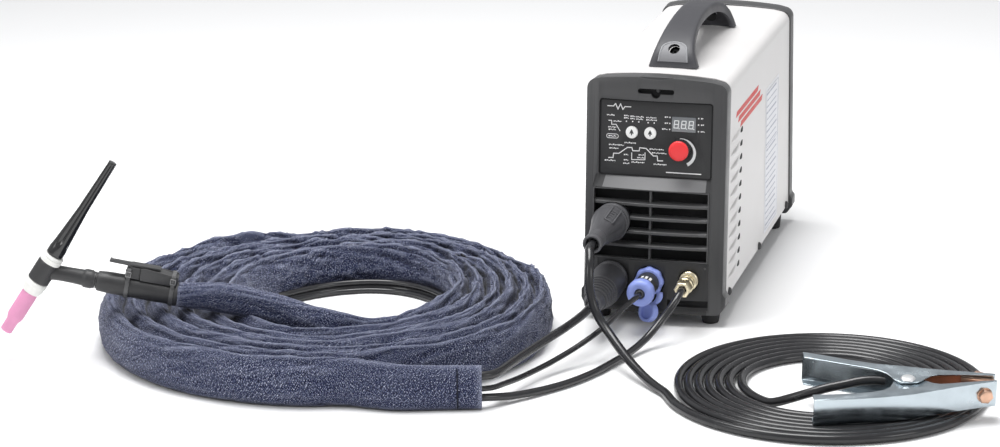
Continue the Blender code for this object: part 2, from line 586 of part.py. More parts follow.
def make_sleeve():
    """The denim sleeve: its wound turns, the outer turn's free end and the stretch that carries the torch."""
    rounded = []
    for shrink, z in ((4.0, 0.0), (0.0, 5.0), (0.0, SLEEVE_HEIGHT - 6.0), (5.0, SLEEVE_HEIGHT)):
        radii = (SLEEVE_OUTER[0] - shrink, SLEEVE_OUTER[1] - shrink)
        rounded.append([(px, py, z) for px, py in ellipse(SLEEVE_CENTRE, radii, 48)])
    coil = loft("sleeve_coil", "denim", rounded)
    hole = []
    for z in (-5.0, SLEEVE_HEIGHT + 5.0):
        hole.append([(px, py, z) for px, py in ellipse(SLEEVE_HOLE_CENTRE, SLEEVE_HOLE, 40)])
    combine(coil, loft("sleeve_hole", None, hole))
    path = ellipse(SLEEVE_CENTRE, (SLEEVE_OUTER[0] + 9.5, SLEEVE_OUTER[1] + 9.5), 18, 205.0, 291.0)
    path += [(-212, -613), (-165, -600), (-119, -586.5)]
    slabs = []
    for index, (px, py) in enumerate(path):
        before = path[max(index - 1, 0)]
        after = path[min(index + 1, len(path) - 1)]
        along = Vector((after[0] - before[0], after[1] - before[1])).normalized()
        side = Vector((along.y, -along.x)) * 9.0
        slabs.append([(px - side.x, py - side.y, 0.0), (px + side.x, py + side.y, 0.0),
                      (px + side.x, py + side.y, 50.0), (px - side.x, py - side.y, 50.0)])
    outlet = loft("sleeve_outlet", "denim", slabs)
    add_bevel(outlet, 4.0, 1, 60)
    tube("sleeve_tail", "denim", [(-508, -497, 77), (-494, -493.1, 74.2), (-470, -487, 73.2),
                                   (-430, -479, 73), (-385, -474, 73), (-335, -474, 73)], 14.2, spacing=20)


# ---------------------------------------------------------------- torch

def handle_frame():
    """Frame at the rear of the torch handle: +X forward along the handle, +Z across it, upwards."""
    turn = Matrix.Rotation(TOOL_TURN, 4, "Z") @ Matrix.Rotation(math.pi, 4, "Z")
    return turn @ Matrix.Rotation(-HANDLE_TILT, 4, "Y")


def make_torch():
    """The torch: handle, head, insulators, cup, back cap, and the switch strapped on the handle."""
    handle = add_empty("torch_handle_frame", TORCH_END, handle_frame())
    turned("torch_handle", "torch_black",
           [(0, 96), (11, 96), (12.2, 93), (12.6, 84), (13.2, 30), (13.6, 0), (0, 0)], (0.6, 0, 0), (1, 0, 0), handle)
    plane = Matrix.Rotation(TOOL_TURN, 4, "Z")
    to_head = Vector((math.cos(HEAD_TILT), 0, math.sin(HEAD_TILT)))
    cup_tip = Vector(TORCH_END) + plane @ Vector((-202.3, 0, -41.5))
    head = add_empty("torch_head_frame", cup_tip, plane @ Vector((0, 0, 1)).rotation_difference(to_head)
                     .to_matrix().to_4x4())
    turned("ceramic_cup", "ceramic_pink",
           [(8.2, 56.5), (9.5, 55), (9.5, 24), (7.1, 14), (7.1, 0), (5.2, 0), (5.2, 50), (6.0, 56.5)],
           (0, 0, 0), parent=head)
    turned("cup_gasket", "insulator_white",
           [(13.0, 72.6), (13.2, 66), (11.4, 56.8), (5.0, 56.8), (5.0, 72.6)], (0, 0, 0), parent=head)
    body = turned("torch_head", "torch_black", [(0, 99.4), (12.6, 99.4), (13.0, 98), (13.0, 74.5), (12.6, 72.9),
                                                 (0, 72.9)], (0, 0, 0), parent=head)
    combine(body, make_neck(cup_tip, plane, to_head), "UNION")
    turned("cap_gasket", "insulator_white", [(11.5, 109.8), (12.9, 108.6), (12.9, 99.7), (5.0, 99.7), (5.0, 109.8)],
           (0, 0, 0), parent=head)
    turned("back_cap", "torch_black", [(0, 241.5), (3.4, 241.5), (3.7, 240.5), (6.2, 175), (9.9, 122), (10.4, 110.1),
                                        (0, 110.1)], (0, 0, 0), parent=head)
    box("switch_module", "torch_black", (2, -8, 14.2), (60, 8, 25), handle, bevel=1.0)
    box("switch_lever", "torch_black", (24, -6.5, 26.2), (86, 6.5, 28.6), handle, bevel=0.6)


def make_neck(cup_tip, plane, to_head):
    """The neck from the head to the handle, as a tube that the head takes in."""
    inside = cup_tip + plane @ (to_head * 81.5)
    rear = Vector(TORCH_END)
    forward = handle_frame() @ Vector((1, 0, 0))
    route = [inside, inside.lerp(rear + forward * 97.0, 0.45) + Vector((0, 0, 1.5)), rear + forward * 97.0]
    neck = tube("torch_neck_core", None, route, 8.6, spacing=14, resolution=3)
    bpy.context.view_layer.update()
    mesh = bpy.data.meshes.new_from_object(neck.evaluated_get(bpy.context.evaluated_depsgraph_get()))
    bpy.data.objects.remove(neck, do_unlink=True)
    bm = bmesh.new()
    bm.from_mesh(mesh)
    bmesh.ops.remove_doubles(bm, verts=bm.verts, dist=0.00001)
    return place("torch_neck", finish_mesh("torch_neck", bm), None)


# ---------------------------------------------------------------- earth clamp

def clamp_frame():
    """Frame at the clamp's pivot: +X to the jaws, +Z along the pivot, which leans away from the front."""
    return Matrix.Rotation(CLAMP_TURN, 4, "Z") @ Matrix.Rotation(CLAMP_TILT, 4, "X")


ARM_BACKS = {"lower": [(-108, -40), (-60, -39), (0, -32), (50, -18), (96.5, -7)],
             "upper": [(-106, 68), (-60, 48), (0, 29.5), (50, 16.5), (96.5, 7)]}
ARM_EDGES = {"lower": [(96.5, -3.4), (62, -6.5), (30, -9), (19, -1), (9, 8), (-9, 8), (-18, -6), (-30, -20),
                       (-60, -26), (-108, -27)],
             "upper": [(96.5, 3.4), (62, 6.5), (30, 7), (19, 0), (9, -8), (-9, -8), (-17, 4), (-28, 20), (-60, 35),
                       (-106, 55)]}


def arm_outline(arm):
    """The outline of one clamp arm, seen along the pivot."""
    return ARM_BACKS[arm] + ARM_EDGES[arm]


def arm_hollow(arm, wall):
    """The space inside the arm's web, open at its ends and towards the other arm."""
    inwards = wall if arm == "lower" else -wall
    back = [(x * 1.2, y + inwards) for x, y in ARM_BACKS[arm]]
    return back + [(130, 30 * inwards), (-140, 60 * inwards)]


def make_clamp():
    """The earth clamp: two U-shaped sheet arms on a rivet, a torsion spring and copper jaw plates."""
    hold = add_empty("clamp_frame", CLAMP_PIVOT, clamp_frame())
    for side, half in (("lower", 15.2), ("upper", 17.5)):
        name = "clamp_arm_" + side
        arm = plate(name, "zinc_steel", arm_outline(side), 2 * half, (0, 0, 0), parent=hold)
        hollow = plate(name + "_hollow", None, arm_hollow(side, 2.0), 2 * (half - 2.0), (0, 0, 0), parent=hold)
        combine(arm, hollow)
        combine(arm, rod(name + "_bore", None, 4.3, 60, (0, 0, -30), parent=hold))
    turned("clamp_pivot", "zinc_steel", [(0, 20), (5, 19.6), (6.5, 17.8), (4, 17.8), (4, -17.8), (6.5, -17.8),
                                          (5, -19.6), (0, -20)], (0, 0, 0), parent=hold, steps=16)
    spring = []
    turns = 4
    for step in range(turns * 10 + 1):
        angle = math.radians(36 * step)
        spring.append((6.6 * math.cos(angle), 6.6 * math.sin(angle), -9 + 18 * step / (turns * 10)))
    tube("clamp_spring", "zinc_steel", spring, 1.2, hold, spacing=4.2, resolution=1)
    for name, way in (("contact_lower", -1), ("contact_upper", 1)):
        jaw = [(62, 12.0), (95, 4.4), (95, 0.2), (78, 0.2), (62, 6)]
        plate(name, "copper", [(x, way * y) for x, y in jaw], 25.6, (0, 0, 0), parent=hold)


def main():
    start_scene()
    make_front_bezel()
    make_front_grille()
    make_control_panel()
    make_cover()
    make_base()
    make_rear()
    make_handle()
    make_internals()
    make_sockets()
    make_plugs()
    make_leads()
    make_sleeve()
    make_torch()
    make_clamp()


main()
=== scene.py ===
"""Looks of the TIG welding machine, its earth lead and clamp, and its torch on a sleeved cable."""

import math

import bmesh
import bpy
from mathutils import Matrix, Vector, noise


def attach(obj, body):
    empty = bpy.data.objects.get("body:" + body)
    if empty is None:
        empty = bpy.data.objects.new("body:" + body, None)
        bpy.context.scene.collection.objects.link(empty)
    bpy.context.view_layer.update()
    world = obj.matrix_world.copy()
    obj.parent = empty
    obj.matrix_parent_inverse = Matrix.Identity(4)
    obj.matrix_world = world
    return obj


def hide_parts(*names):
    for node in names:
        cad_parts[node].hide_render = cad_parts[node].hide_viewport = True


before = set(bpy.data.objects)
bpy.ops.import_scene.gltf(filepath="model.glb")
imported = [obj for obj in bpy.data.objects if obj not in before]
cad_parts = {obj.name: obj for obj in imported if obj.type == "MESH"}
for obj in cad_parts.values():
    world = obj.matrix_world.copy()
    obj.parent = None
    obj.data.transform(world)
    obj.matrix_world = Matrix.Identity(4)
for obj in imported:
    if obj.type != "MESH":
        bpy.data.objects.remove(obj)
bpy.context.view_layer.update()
MM = 0.001
Z = Vector((0, 0, 1))

# The leaning frames of the machine's two ends, and the frames of the torch and the clamp, as in the CAD.
SHELL_HEIGHT = 267.0
FRONT_LEAN = math.atan(20.0 / SHELL_HEIGHT)
REAR_LEAN = math.atan(16.0 / SHELL_HEIGHT)
FRONT = Matrix.Translation((0, -0.240, 0.028)) @ Matrix.Rotation(-FRONT_LEAN, 4, "X")
REAR = Matrix.Translation((0, 0.240, 0.028)) @ Matrix.Rotation(REAR_LEAN, 4, "X")
TOOL_TURN = math.radians(15.4)
HANDLE_TILT = math.radians(11.0)
HEAD_TILT = math.radians(56.3)
TORCH_END = Vector((-508.0, -497.0, 77.0))
HANDLE = (Matrix.Translation(TORCH_END * MM) @ Matrix.Rotation(TOOL_TURN + math.pi, 4, "Z")
          @ Matrix.Rotation(-HANDLE_TILT, 4, "Y"))
PLANE = Matrix.Rotation(TOOL_TURN, 4, "Z")
TO_HEAD = Vector((math.cos(HEAD_TILT), 0, math.sin(HEAD_TILT)))
CUP_TIP = TORCH_END + PLANE @ Vector((-202.3, 0, -41.5))
HEAD = (Matrix.Translation(CUP_TIP * MM) @ PLANE @ Z.rotation_difference(TO_HEAD).to_matrix().to_4x4())
CLAMP = (Matrix.Translation(Vector((343.4, -514.0, 32.5)) * MM) @ Matrix.Rotation(math.radians(17.6), 4, "Z")
         @ Matrix.Rotation(math.radians(9.0), 4, "X"))
WORLD = Matrix.Identity(4)
AHEAD = (0, -1, 0)
BEHIND = (0, 1, 0)


# ---------------------------------------------------------------- materials

def colour(red, green, blue):
    """Linear colour of an 8-bit sRGB one."""
    return tuple(((c / 255 + 0.055) / 1.055) ** 2.4 if c > 10 else c / 255 / 12.92 for c in (red, green, blue))


class Nodes:
    """Short ways to add and link shader nodes."""

    def __init__(self, material):
        material.use_nodes = True
        self.tree = material.node_tree
        self.shader = self.tree.nodes["Principled BSDF"]

    def add(self, kind, **values):
        node = self.tree.nodes.new("ShaderNode" + kind)
        for name, value in values.items():
            if hasattr(node, name):
                setattr(node, name, value)
            else:
                node.inputs[name.replace("_", " ")].default_value = value
        return node

    def settings(self, values):
        for name, value in values.items():
            self.shader.inputs[name].default_value = value

    def link(self, source, output, target, name):
        self.tree.links.new(source.outputs[output], target.inputs[name])

    def ramp(self, source, output, stops):
        ramp = self.add("ValToRGB")
        points = ramp.color_ramp.elements
        while len(points) < len(stops):
            points.new(0.5)
        for point, (at, value) in zip(points, stops):
            point.position = at
            point.color = (*value, 1) if isinstance(value, tuple) else (value, value, value, 1)
        self.link(source, output, ramp, "Fac")
        return ramp

    def coords(self, output, stretch=None):
        place = self.add("TexCoord")
        if stretch is None:
            return place, output
        return self.mapped(place, output, "Scale", stretch), "Vector"

    def noise(self, scale, detail, roughness, stretch=None):
        source, name = self.coords("Object", stretch)
        node = self.add("TexNoise", Scale=scale, Detail=detail, Roughness=roughness)
        self.link(source, name, node, "Vector")
        return node

    def blend(self, kind, factor, below, above):
        """Blends one colour over another. Each of the last three is a value, or a node with a colour."""
        node = self.add("MixRGB", blend_type=kind)
        for name, value in (("Fac", factor), ("Color1", below), ("Color2", above)):
            if isinstance(value, bpy.types.Node):
                self.link(value, "Color", node, name)
            else:
                node.inputs[name].default_value = value
        return node

    def mapped(self, source, output, setting, value):
        """A vector turned or scaled by a Mapping node."""
        node = self.add("Mapping")
        node.inputs[setting].default_value = value
        self.link(source, output, node, "Vector")
        return node

    def bump(self, source, output, strength, distance, before=None):
        node = self.add("Bump", Strength=strength, Distance=distance)
        self.link(source, output, node, "Height")
        if before:
            self.link(before, "Normal", node, "Normal")
        self.link(node, "Normal", self.shader, "Normal")
        return node


def surface(name, base, rough, metal=0.0, grain=900.0, depth=0.00008, strength=0.25, tint=0.10, spread=0.08,
            coat=0.0, edge_wear_and_highlight=0.0, stretch=None, blotch=25.0):
    """A material with mottled colour, uneven roughness, a fine surface grain, and pale edges that stand for wear and,
    on glossy parts, for painted highlight.
    """
    material = bpy.data.materials.new(name)
    nodes = Nodes(material)
    nodes.settings({"Metallic": metal, "Coat Weight": coat, "Coat Roughness": 0.2, "Specular IOR Level": 0.5})
    soft = nodes.noise(blotch, 4.0, 0.6)
    dark = tuple(c * (1 - tint) for c in base)
    pale = tuple(min(1.0, c * (1 + tint)) for c in base)
    tone = nodes.ramp(soft, "Fac", [(0.3, dark), (0.7, pale)])
    # Pale edges from pointiness: partly wear, partly painted highlight where edges would catch the light.
    if edge_wear_and_highlight:
        edge = nodes.add("NewGeometry")
        where = nodes.ramp(edge, "Pointiness", [(0.515, 0.0), (0.56, edge_wear_and_highlight)])
        tone = nodes.blend("MIX", where, tone, (*(min(1.0, c * 1.5 + 0.06) for c in base), 1))
    nodes.link(tone, "Color", nodes.shader, "Base Color")
    fine = nodes.noise(grain, 3.0, 0.6, stretch)
    gloss = nodes.ramp(soft if stretch is None else fine, "Fac",
                       [(0.25, max(0.02, rough - spread)), (0.75, min(1.0, rough + spread))])
    nodes.link(gloss, "Color", nodes.shader, "Roughness")
    nodes.bump(fine, "Fac", strength, depth)
    return material


PLAIN = (1.0, 1.0, 1.0)


def denim_material():
    """Woven denim: twill and pale flecks, faded in large blotches, with painted shade in hollows, and on crests a pale
    colour that is partly worn fading and partly painted highlight.
    """
    material = bpy.data.materials.new("denim_weave")
    nodes = Nodes(material)
    nodes.settings({"Roughness": 0.92, "Specular IOR Level": 0.2, "Sheen Weight": 0.12, "Sheen Roughness": 0.6})
    uv, name = nodes.coords("UV")
    turn = nodes.mapped(uv, name, "Rotation", (0, 0, math.radians(38)))
    twill = nodes.add("TexWave", Scale=150.0, Distortion=1.2, Detail=2.0, Detail_Scale=2.0)
    nodes.link(turn, "Vector", twill, "Vector")
    squeeze = nodes.mapped(turn, "Vector", "Scale", (0.55, 1.0, 1.0))
    fleck = nodes.add("TexNoise", Scale=880.0, Detail=3.0, Roughness=0.85)
    nodes.link(squeeze, "Vector", fleck, "Vector")
    fade = nodes.noise(9.0, 5.0, 0.65)
    threads = nodes.ramp(fleck, "Fac", [(0.41, colour(6, 11, 34)), (0.50, colour(30, 40, 78)),
                                        (0.56, colour(92, 102, 142)), (0.62, colour(236, 239, 252))])
    rows = nodes.ramp(twill, "Fac", [(0.25, colour(150, 152, 160)), (0.75, PLAIN)])
    tint = nodes.ramp(fade, "Fac", [(0.30, colour(205, 208, 220)), (0.70, PLAIN)])
    # Painted shade: ambient occlusion darkens the cloth in hollows and between the turns.
    hollow = nodes.add("AmbientOcclusion", Distance=0.03)
    hollow.samples = 8
    shade = nodes.ramp(hollow, "AO", [(0.12, colour(62, 64, 82)), (0.38, colour(206, 208, 220)), (0.70, PLAIN)])
    form = nodes.add("NewGeometry")
    # Convex crests screen towards a pale blue: partly worn fading, partly painted highlight; concave troughs darken as
    # painted shade.
    crest = nodes.ramp(form, "Pointiness", [(0.505, 0.0), (0.56, 0.26)])
    trough_shade = nodes.ramp(form, "Pointiness", [(0.43, colour(96, 98, 116)), (0.495, PLAIN)])
    cloth = nodes.blend("MULTIPLY", 0.85, threads, rows)
    cloth = nodes.blend("MULTIPLY", 0.9, cloth, tint)
    cloth = nodes.blend("MULTIPLY", 1.0, cloth, shade)
    cloth = nodes.blend("SCREEN", crest, cloth, (*colour(178, 184, 206), 1))
    cloth = nodes.blend("MULTIPLY", 1.0, cloth, trough_shade)
    nodes.link(cloth, "Color", nodes.shader, "Base Color")
    ridge = nodes.bump(twill, "Fac", 0.5, 0.0004)
    nodes.bump(fleck, "Fac", 0.45, 0.0004, ridge)
    return material


MOULDED = {"strength": 0.5, "depth": 0.0001, "tint": 0.05}
# A lighter grey copy of the bezel moulding for its upward sill faces: painted light.
SILL_PAINTED_LIGHT = surface("sill_painted_light", colour(120, 120, 121), 0.5, grain=1500, **MOULDED)
PANEL_BLACK = surface("lower_panel", colour(42, 42, 43), 0.45, grain=1500, strength=0.5, depth=0.0001, tint=0.06)
GREY_LIGHT = surface("handle_ridge", colour(140, 141, 144), 0.5, grain=1300, **MOULDED)
BEZEL = surface("bezel_moulding", colour(60, 60, 61), 0.38, grain=1500, edge_wear_and_highlight=0.35, **MOULDED)
FILM = surface("panel_film", colour(38, 38, 39), 0.42, grain=2200, strength=0.6, depth=0.00008, tint=0.07,
               blotch=120)
WINDOW = surface("display_glass", colour(118, 121, 124), 0.14, grain=300, strength=0.02, tint=0.03, coat=0.5)
DIGITS = surface("display_segments", colour(228, 230, 230), 0.4, grain=1200, strength=0.1, tint=0.03)
PRINT = surface("panel_print", colour(236, 236, 236), 0.55, grain=1800, strength=0.15, tint=0.04)
PRINT_SOFT = surface("label_print", colour(176, 178, 190), 0.6, grain=1800, strength=0.1, tint=0.06)
LABEL = surface("label_film", colour(222, 223, 228), 0.35, grain=700, strength=0.06, tint=0.02)
BUTTON = surface("button_white", colour(244, 244, 242), 0.35, grain=900, strength=0.08, tint=0.02, coat=0.2)
BLACK = surface("black_moulding", colour(40, 40, 42), 0.45, grain=1400, strength=0.35, tint=0.08, edge_wear_and_highlight=0.25)
# A near black that stands in for shade in slots, gaps, openings and wells: painted shade.
SHADOW_BLACK = surface("shadow_black", colour(16, 16, 18), 0.8, grain=900, strength=0.1, tint=0.2)
STRIPE = surface("side_stripe", colour(206, 62, 56), 0.5, grain=1500, strength=0.1, tint=0.03)
RED = surface("knob_red", colour(238, 52, 56), 0.38, grain=1500, strength=0.15, tint=0.03, coat=0.15)
COVER = surface("cover_powder_coat", colour(216, 214, 213), 0.40, grain=1100, strength=0.22, depth=0.00012,
                tint=0.015, coat=0.08)
GREY_PAD = surface("handle_pad", colour(124, 124, 127), 0.55, grain=1300, strength=0.7, depth=0.00014, tint=0.06)
GREY = surface("handle_moulding", colour(58, 58, 62), 0.5, grain=1300, edge_wear_and_highlight=0.25, **MOULDED)
STEEL = surface("dark_powder_coat", colour(64, 64, 66), 0.5, grain=1000, strength=0.3, tint=0.06)
RUBBER = surface("foot_rubber", colour(34, 34, 35), 0.75, grain=700, strength=0.4, tint=0.1)
PLUG = surface("plug_rubber", colour(73, 73, 76), 0.42, grain=1200, strength=0.4, tint=0.08, edge_wear_and_highlight=0.35)
BLUE = surface("blue_moulding", colour(142, 158, 228), 0.42, grain=1300, strength=0.2, tint=0.06, edge_wear_and_highlight=0.15)
CABLE = surface("cable_jacket", colour(38, 38, 40), 0.22, grain=700, strength=0.25, tint=0.08, blotch=60)
HOSE = surface("hose_jacket", colour(44, 44, 46), 0.14, grain=600, strength=0.18, tint=0.08, blotch=60)
BRASS = surface("turned_brass", colour(244, 232, 200), 0.34, metal=1.0, grain=500, strength=0.12, tint=0.08,
                stretch=(1, 12, 1))
COPPER = surface("bare_copper", colour(214, 174, 150), 0.34, metal=1.0, grain=420, strength=0.18, tint=0.14,
                 blotch=70)
COPPER_DULL = surface("dull_copper", colour(214, 138, 104), 0.5, metal=0.35, grain=420, strength=0.18, tint=0.10,
                      blotch=70)
ZINC = surface("zinc_plating", colour(182, 192, 198), 0.22, metal=1.0, grain=260, strength=0.1, tint=0.10,
               blotch=45, edge_wear_and_highlight=0.3)
CHROME = surface("bright_steel", colour(226, 230, 232), 0.16, metal=1.0, grain=400, strength=0.05, tint=0.05)
RIVET = surface("rivet_steel", colour(246, 247, 248), 0.42, metal=1.0, grain=400, strength=0.04, tint=0.03)
ALLOY = surface("extruded_aluminium", colour(200, 202, 205), 0.35, metal=1.0, grain=300, strength=0.15,
                stretch=(1, 0.05, 1), tint=0.05)
BOARD = surface("solder_mask", colour(34, 92, 58), 0.4, grain=500, strength=0.3, tint=0.15, blotch=180)
TORCH = surface("torch_moulding", colour(50, 50, 51), 0.46, grain=1000, strength=0.45, depth=0.00012, tint=0.08,
                edge_wear_and_highlight=0.3)
CAP = surface("back_cap_moulding", colour(28, 28, 29), 0.11, grain=900, strength=0.10, tint=0.08, coat=0.6)
# The zip ties' strong pale edges are painted highlight.
TIE = surface("tie_nylon", colour(52, 52, 53), 0.3, grain=900, strength=0.2, tint=0.08, edge_wear_and_highlight=0.8)
# A pale grey for the rims of the tie heads: painted highlight.
TIE_HIGHLIGHT = surface("tie_highlight", colour(150, 150, 150), 0.35, grain=900, strength=0.2, tint=0.06)
WHITE = surface("insulator_white", colour(240, 240, 236), 0.42, grain=1200, strength=0.15, tint=0.03)
PINK = surface("pink_ceramic", colour(226, 152, 190), 0.5, grain=1400, strength=0.3, tint=0.05, blotch=60)
DENIM = denim_material()
STITCH = surface("stitch_thread", colour(18, 22, 38), 0.9, grain=2500, strength=0.6, tint=0.15)
FLOOR = surface("studio_floor", (0.95, 0.95, 0.95), 0.9, grain=40, strength=0.02, tint=0.004, blotch=2)


# ---------------------------------------------------------------- making pieces

def piece(name, bm, material, place=WORLD, body="machine", replaces=(), angle=35.0, bevel=0.0,
          extra=(), segments=2):
    """Puts a shape, drawn in millimetres in the frame called place, into the scene on its body."""
    thing = lone(name, bm)
    mesh = thing.data
    mesh.transform(place @ Matrix.Diagonal((MM, MM, MM, 1)))
    for item in (material, *extra):
        mesh.materials.append(item)
    if bevel:
        step = thing.modifiers.new("edges", "BEVEL")
        step.width = bevel * MM
        step.segments = segments
        step.limit_method = "ANGLE"
        step.angle_limit = math.radians(40)
        apply_modifiers(thing)
        mesh = thing.data
    mesh.shade_smooth()
    mesh.set_sharp_from_angle(angle=math.radians(angle))
    return settle(thing, body, replaces)


def settle(thing, body, replaces=()):
    """Rides on its body and stands for its nodes, which it hides."""
    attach(thing, body)
    if replaces:
        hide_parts(*replaces)
    return thing


def apply_modifiers(thing):
    """Replaces an object's mesh by the evaluated one."""
    bpy.context.view_layer.update()
    seen = thing.evaluated_get(bpy.context.evaluated_depsgraph_get())
    mesh = bpy.data.meshes.new_from_object(seen)
    thing.modifiers.clear()
    thing.data = mesh
    return thing


def join(*shapes):
    """One bmesh from several."""
    whole = bmesh.new()
    for shape in shapes:
        part = mesh_of("part", shape)
        whole.from_mesh(part)
        bpy.data.meshes.remove(part)
    return whole


def moved(bm, at=(0, 0, 0), turn=None, axis=None):
    """The same shape turned, then moved. axis turns +Z to that direction."""
    if axis is not None:
        turn = Z.rotation_difference(Vector(axis)).to_matrix().to_4x4()
    if turn is not None:
        bmesh.ops.transform(bm, matrix=turn, verts=bm.verts)
    bmesh.ops.translate(bm, vec=Vector(at), verts=bm.verts)
    return bm


def lathe(profile, steps=64, ripple=None):
    """A profile of (radius, height) turned round Z; ripple(angle, height) scales the radius."""
    bm = bmesh.new()
    rings = []
    for radius, height in profile:
        if radius <= 0:
            rings.append([bm.verts.new((0, 0, height))])
            continue
        ring = []
        for step in range(steps):
            turn = math.tau * step / steps
            grown = radius * (ripple(turn, height) if ripple else 1)
            ring.append(bm.verts.new((grown * math.cos(turn), grown * math.sin(turn), height)))
        rings.append(ring)
    closed = profile[0][0] > 0 and profile[-1][0] > 0
    pairs = list(zip(rings, rings[1:])) + ([(rings[-1], rings[0])] if closed else [])
    for low, high in pairs:
        for step in range(steps):
            after = (step + 1) % steps
            corners = []
            for ring, index in ((low, step), (low, after), (high, after), (high, step)):
                corner = ring[index % len(ring)]
                if corner not in corners:
                    corners.append(corner)
            if len(corners) > 2:
                bm.faces.new(corners)
    return bm


def rod(radius, low, high, steps, at=(0, 0, 0), axis=(0, 0, 1)):
    """A round bar about an axis through a point, from low to high along it."""
    return moved(lathe([(0, low), (radius, low), (radius, high), (0, high)], steps), at, axis=axis)


def prism(outline, low, high):
    """An outline in XY, drawn out along Z."""
    bm = bmesh.new()
    bottom = [bm.verts.new((x, y, low)) for x, y in outline]
    top = [bm.verts.new((x, y, high)) for x, y in outline]
    bm.faces.new(bottom)
    bm.faces.new(top)
    for index in range(len(outline)):
        after = (index + 1) % len(outline)
        bm.faces.new((bottom[index], bottom[after], top[after], top[index]))
    return bm


def upright(outline, front, back):
    """An outline in XZ, drawn out along Y."""
    return moved(prism(outline, -back, -front), turn=Matrix.Rotation(math.pi / 2, 4, "X"))


def block(low, high, round_by=0.0, segments=3):
    """A block between two corners, with rounded edges."""
    bm = bmesh.new()
    bmesh.ops.create_cube(bm, size=1.0)
    low, high = Vector(low), Vector(high)
    bmesh.ops.scale(bm, vec=high - low, verts=bm.verts)
    if round_by:
        bmesh.ops.bevel(bm, geom=bm.edges, offset=round_by, segments=segments, profile=0.5, affect="EDGES")
    return moved(bm, (low + high) / 2)


def rounded_rectangle(low, high, radius, steps=5):
    """The outline of a rectangle with round corners."""
    points = []
    for cx, cy, start in ((high[0] - radius, low[1] + radius, -90), (high[0] - radius, high[1] - radius, 0),
                          (low[0] + radius, high[1] - radius, 90), (low[0] + radius, low[1] + radius, 180)):
        points += arc((cx, cy), radius, start, start + 90, steps)
    return points


def arc(centre, radius, start, end, steps):
    """Points of a circular arc, in degrees."""
    turns = [math.radians(start + (end - start) * step / steps) for step in range(steps + 1)]
    return [(centre[0] + radius * math.cos(turn), centre[1] + radius * math.sin(turn)) for turn in turns]


def skin(rings, caps=True):
    """A closed skin through rings of equal point counts."""
    bm = bmesh.new()
    made = [[bm.verts.new(Vector(point)) for point in ring] for ring in rings]
    count = len(made[0])
    for near, far in zip(made, made[1:]):
        for index in range(count):
            after = (index + 1) % count
            bm.faces.new((near[index], near[after], far[after], far[index]))
    if caps:
        bm.faces.new(made[0])
        bm.faces.new(made[-1])
    return bm


def frames_along(points, up=None):
    """Tangent and two crosswise directions at each point of a path, without twist."""
    tangents = []
    for index in range(len(points)):
        ahead = points[min(index + 1, len(points) - 1)]
        behind = points[max(index - 1, 0)]
        tangents.append((ahead - behind).normalized())
    result = []
    side = tangents[0].orthogonal().normalized() if up is None else tangents[0].cross(up).normalized()
    for tangent in tangents:
        if up is None:
            side = (side - tangent * side.dot(tangent)).normalized()
        else:
            side = tangent.cross(up).normalized()
        result.append((tangent, side, side.cross(tangent)))
    return result


def pipe(points, radius, sides=16, caps=True):
    """A round bar along a path; radius may be a list with one value for each point."""
    points = [Vector(point) for point in points]
    sizes = radius if isinstance(radius, list) else [radius] * len(points)
    rings = []
    for point, size, (_, side, rise) in zip(points, sizes, frames_along(points)):
        ring = []
        for step in range(sides):
            turn = math.tau * step / sides
            ring.append(point + (side * math.cos(turn) + rise * math.sin(turn)) * size)
        rings.append(ring)
    return skin(rings, caps)


def cut(name, base, cutters):
    """Cuts shapes out of a base, one after another, and gives a bmesh. A pair states another kind of Boolean."""
    whole = lone(name + "_base", base)
    for index, cutter in enumerate(cutters):
        kind, tool = cutter if isinstance(cutter, tuple) else ("DIFFERENCE", cutter)
        other = lone("%s_tool_%d" % (name, index), tool)
        step = whole.modifiers.new("cut", "BOOLEAN")
        step.operation = kind
        step.solver = "EXACT"
        step.object = other
        apply_modifiers(whole)
        bpy.data.objects.remove(other, do_unlink=True)
    bm = bmesh.new()
    bm.from_mesh(whole.data)
    bpy.data.objects.remove(whole, do_unlink=True)
    bmesh.ops.remove_doubles(bm, verts=bm.verts, dist=0.001)
    bmesh.ops.dissolve_degenerate(bm, edges=bm.edges, dist=0.002)
    return bm


def lone(name, bm):
    """A plain object from a bmesh, with its faces looking out."""
    bmesh.ops.recalc_face_normals(bm, faces=bm.faces)
    return shown(name, mesh_of(name, bm))


def mesh_of(name, bm):
    """A mesh from a bmesh, which is used up."""
    mesh = bpy.data.meshes.new(name)
    bm.to_mesh(mesh)
    bm.free()
    return mesh


def shown(name, data):
    """A new object in the scene."""
    thing = bpy.data.objects.new(name, data)
    bpy.context.scene.collection.objects.link(thing)
    return thing


def smooth_route(points, spacing):
    """Points at an even spacing along a Catmull-Rom curve through the route's own points."""
    points = [Vector(point) for point in points]
    ends = [2 * points[0] - points[1]] + points + [2 * points[-1] - points[-2]]
    fine = []
    for before, start, end, after in zip(ends, ends[1:], ends[2:], ends[3:]):
        for step in range(24):
            t = step / 24
            fine.append(0.5 * ((2 * start) + (end - before) * t
                               + (2 * before - 5 * start + 4 * end - after) * t ** 2
                               + (3 * start - before - 3 * end + after) * t ** 3))
    fine.append(points[-1])
    lengths = [0.0]
    for first, second in zip(fine, fine[1:]):
        lengths.append(lengths[-1] + (second - first).length)
    count = max(3, round(lengths[-1] / spacing))
    even = []
    index = 0
    for step in range(count):
        wanted = lengths[-1] * step / count
        while lengths[index + 1] < wanted:
            index += 1
        share = (wanted - lengths[index]) / (lengths[index + 1] - lengths[index])
        even.append(fine[index].lerp(fine[index + 1], share))
    return even + [points[-1]]


# ---------------------------------------------------------------- camera, light and floor

CAMERA_AT = (0.7325, -3.5926, 1.1182)
CAMERA_TURNS = (15.381, 16.146, -0.587)
FOCAL_LENGTH = 107.55
LIGHTS = (("overhead", (-0.4, -0.3, 2.4), 1.5, 68), ("front_left", (-2.2, -2.4, 1.7), 1.2, 16),
          ("front_right", (2.6, -1.6, 1.5), 1.0, 12))
AIMED_AT = Vector((0, -0.25, 0.1))


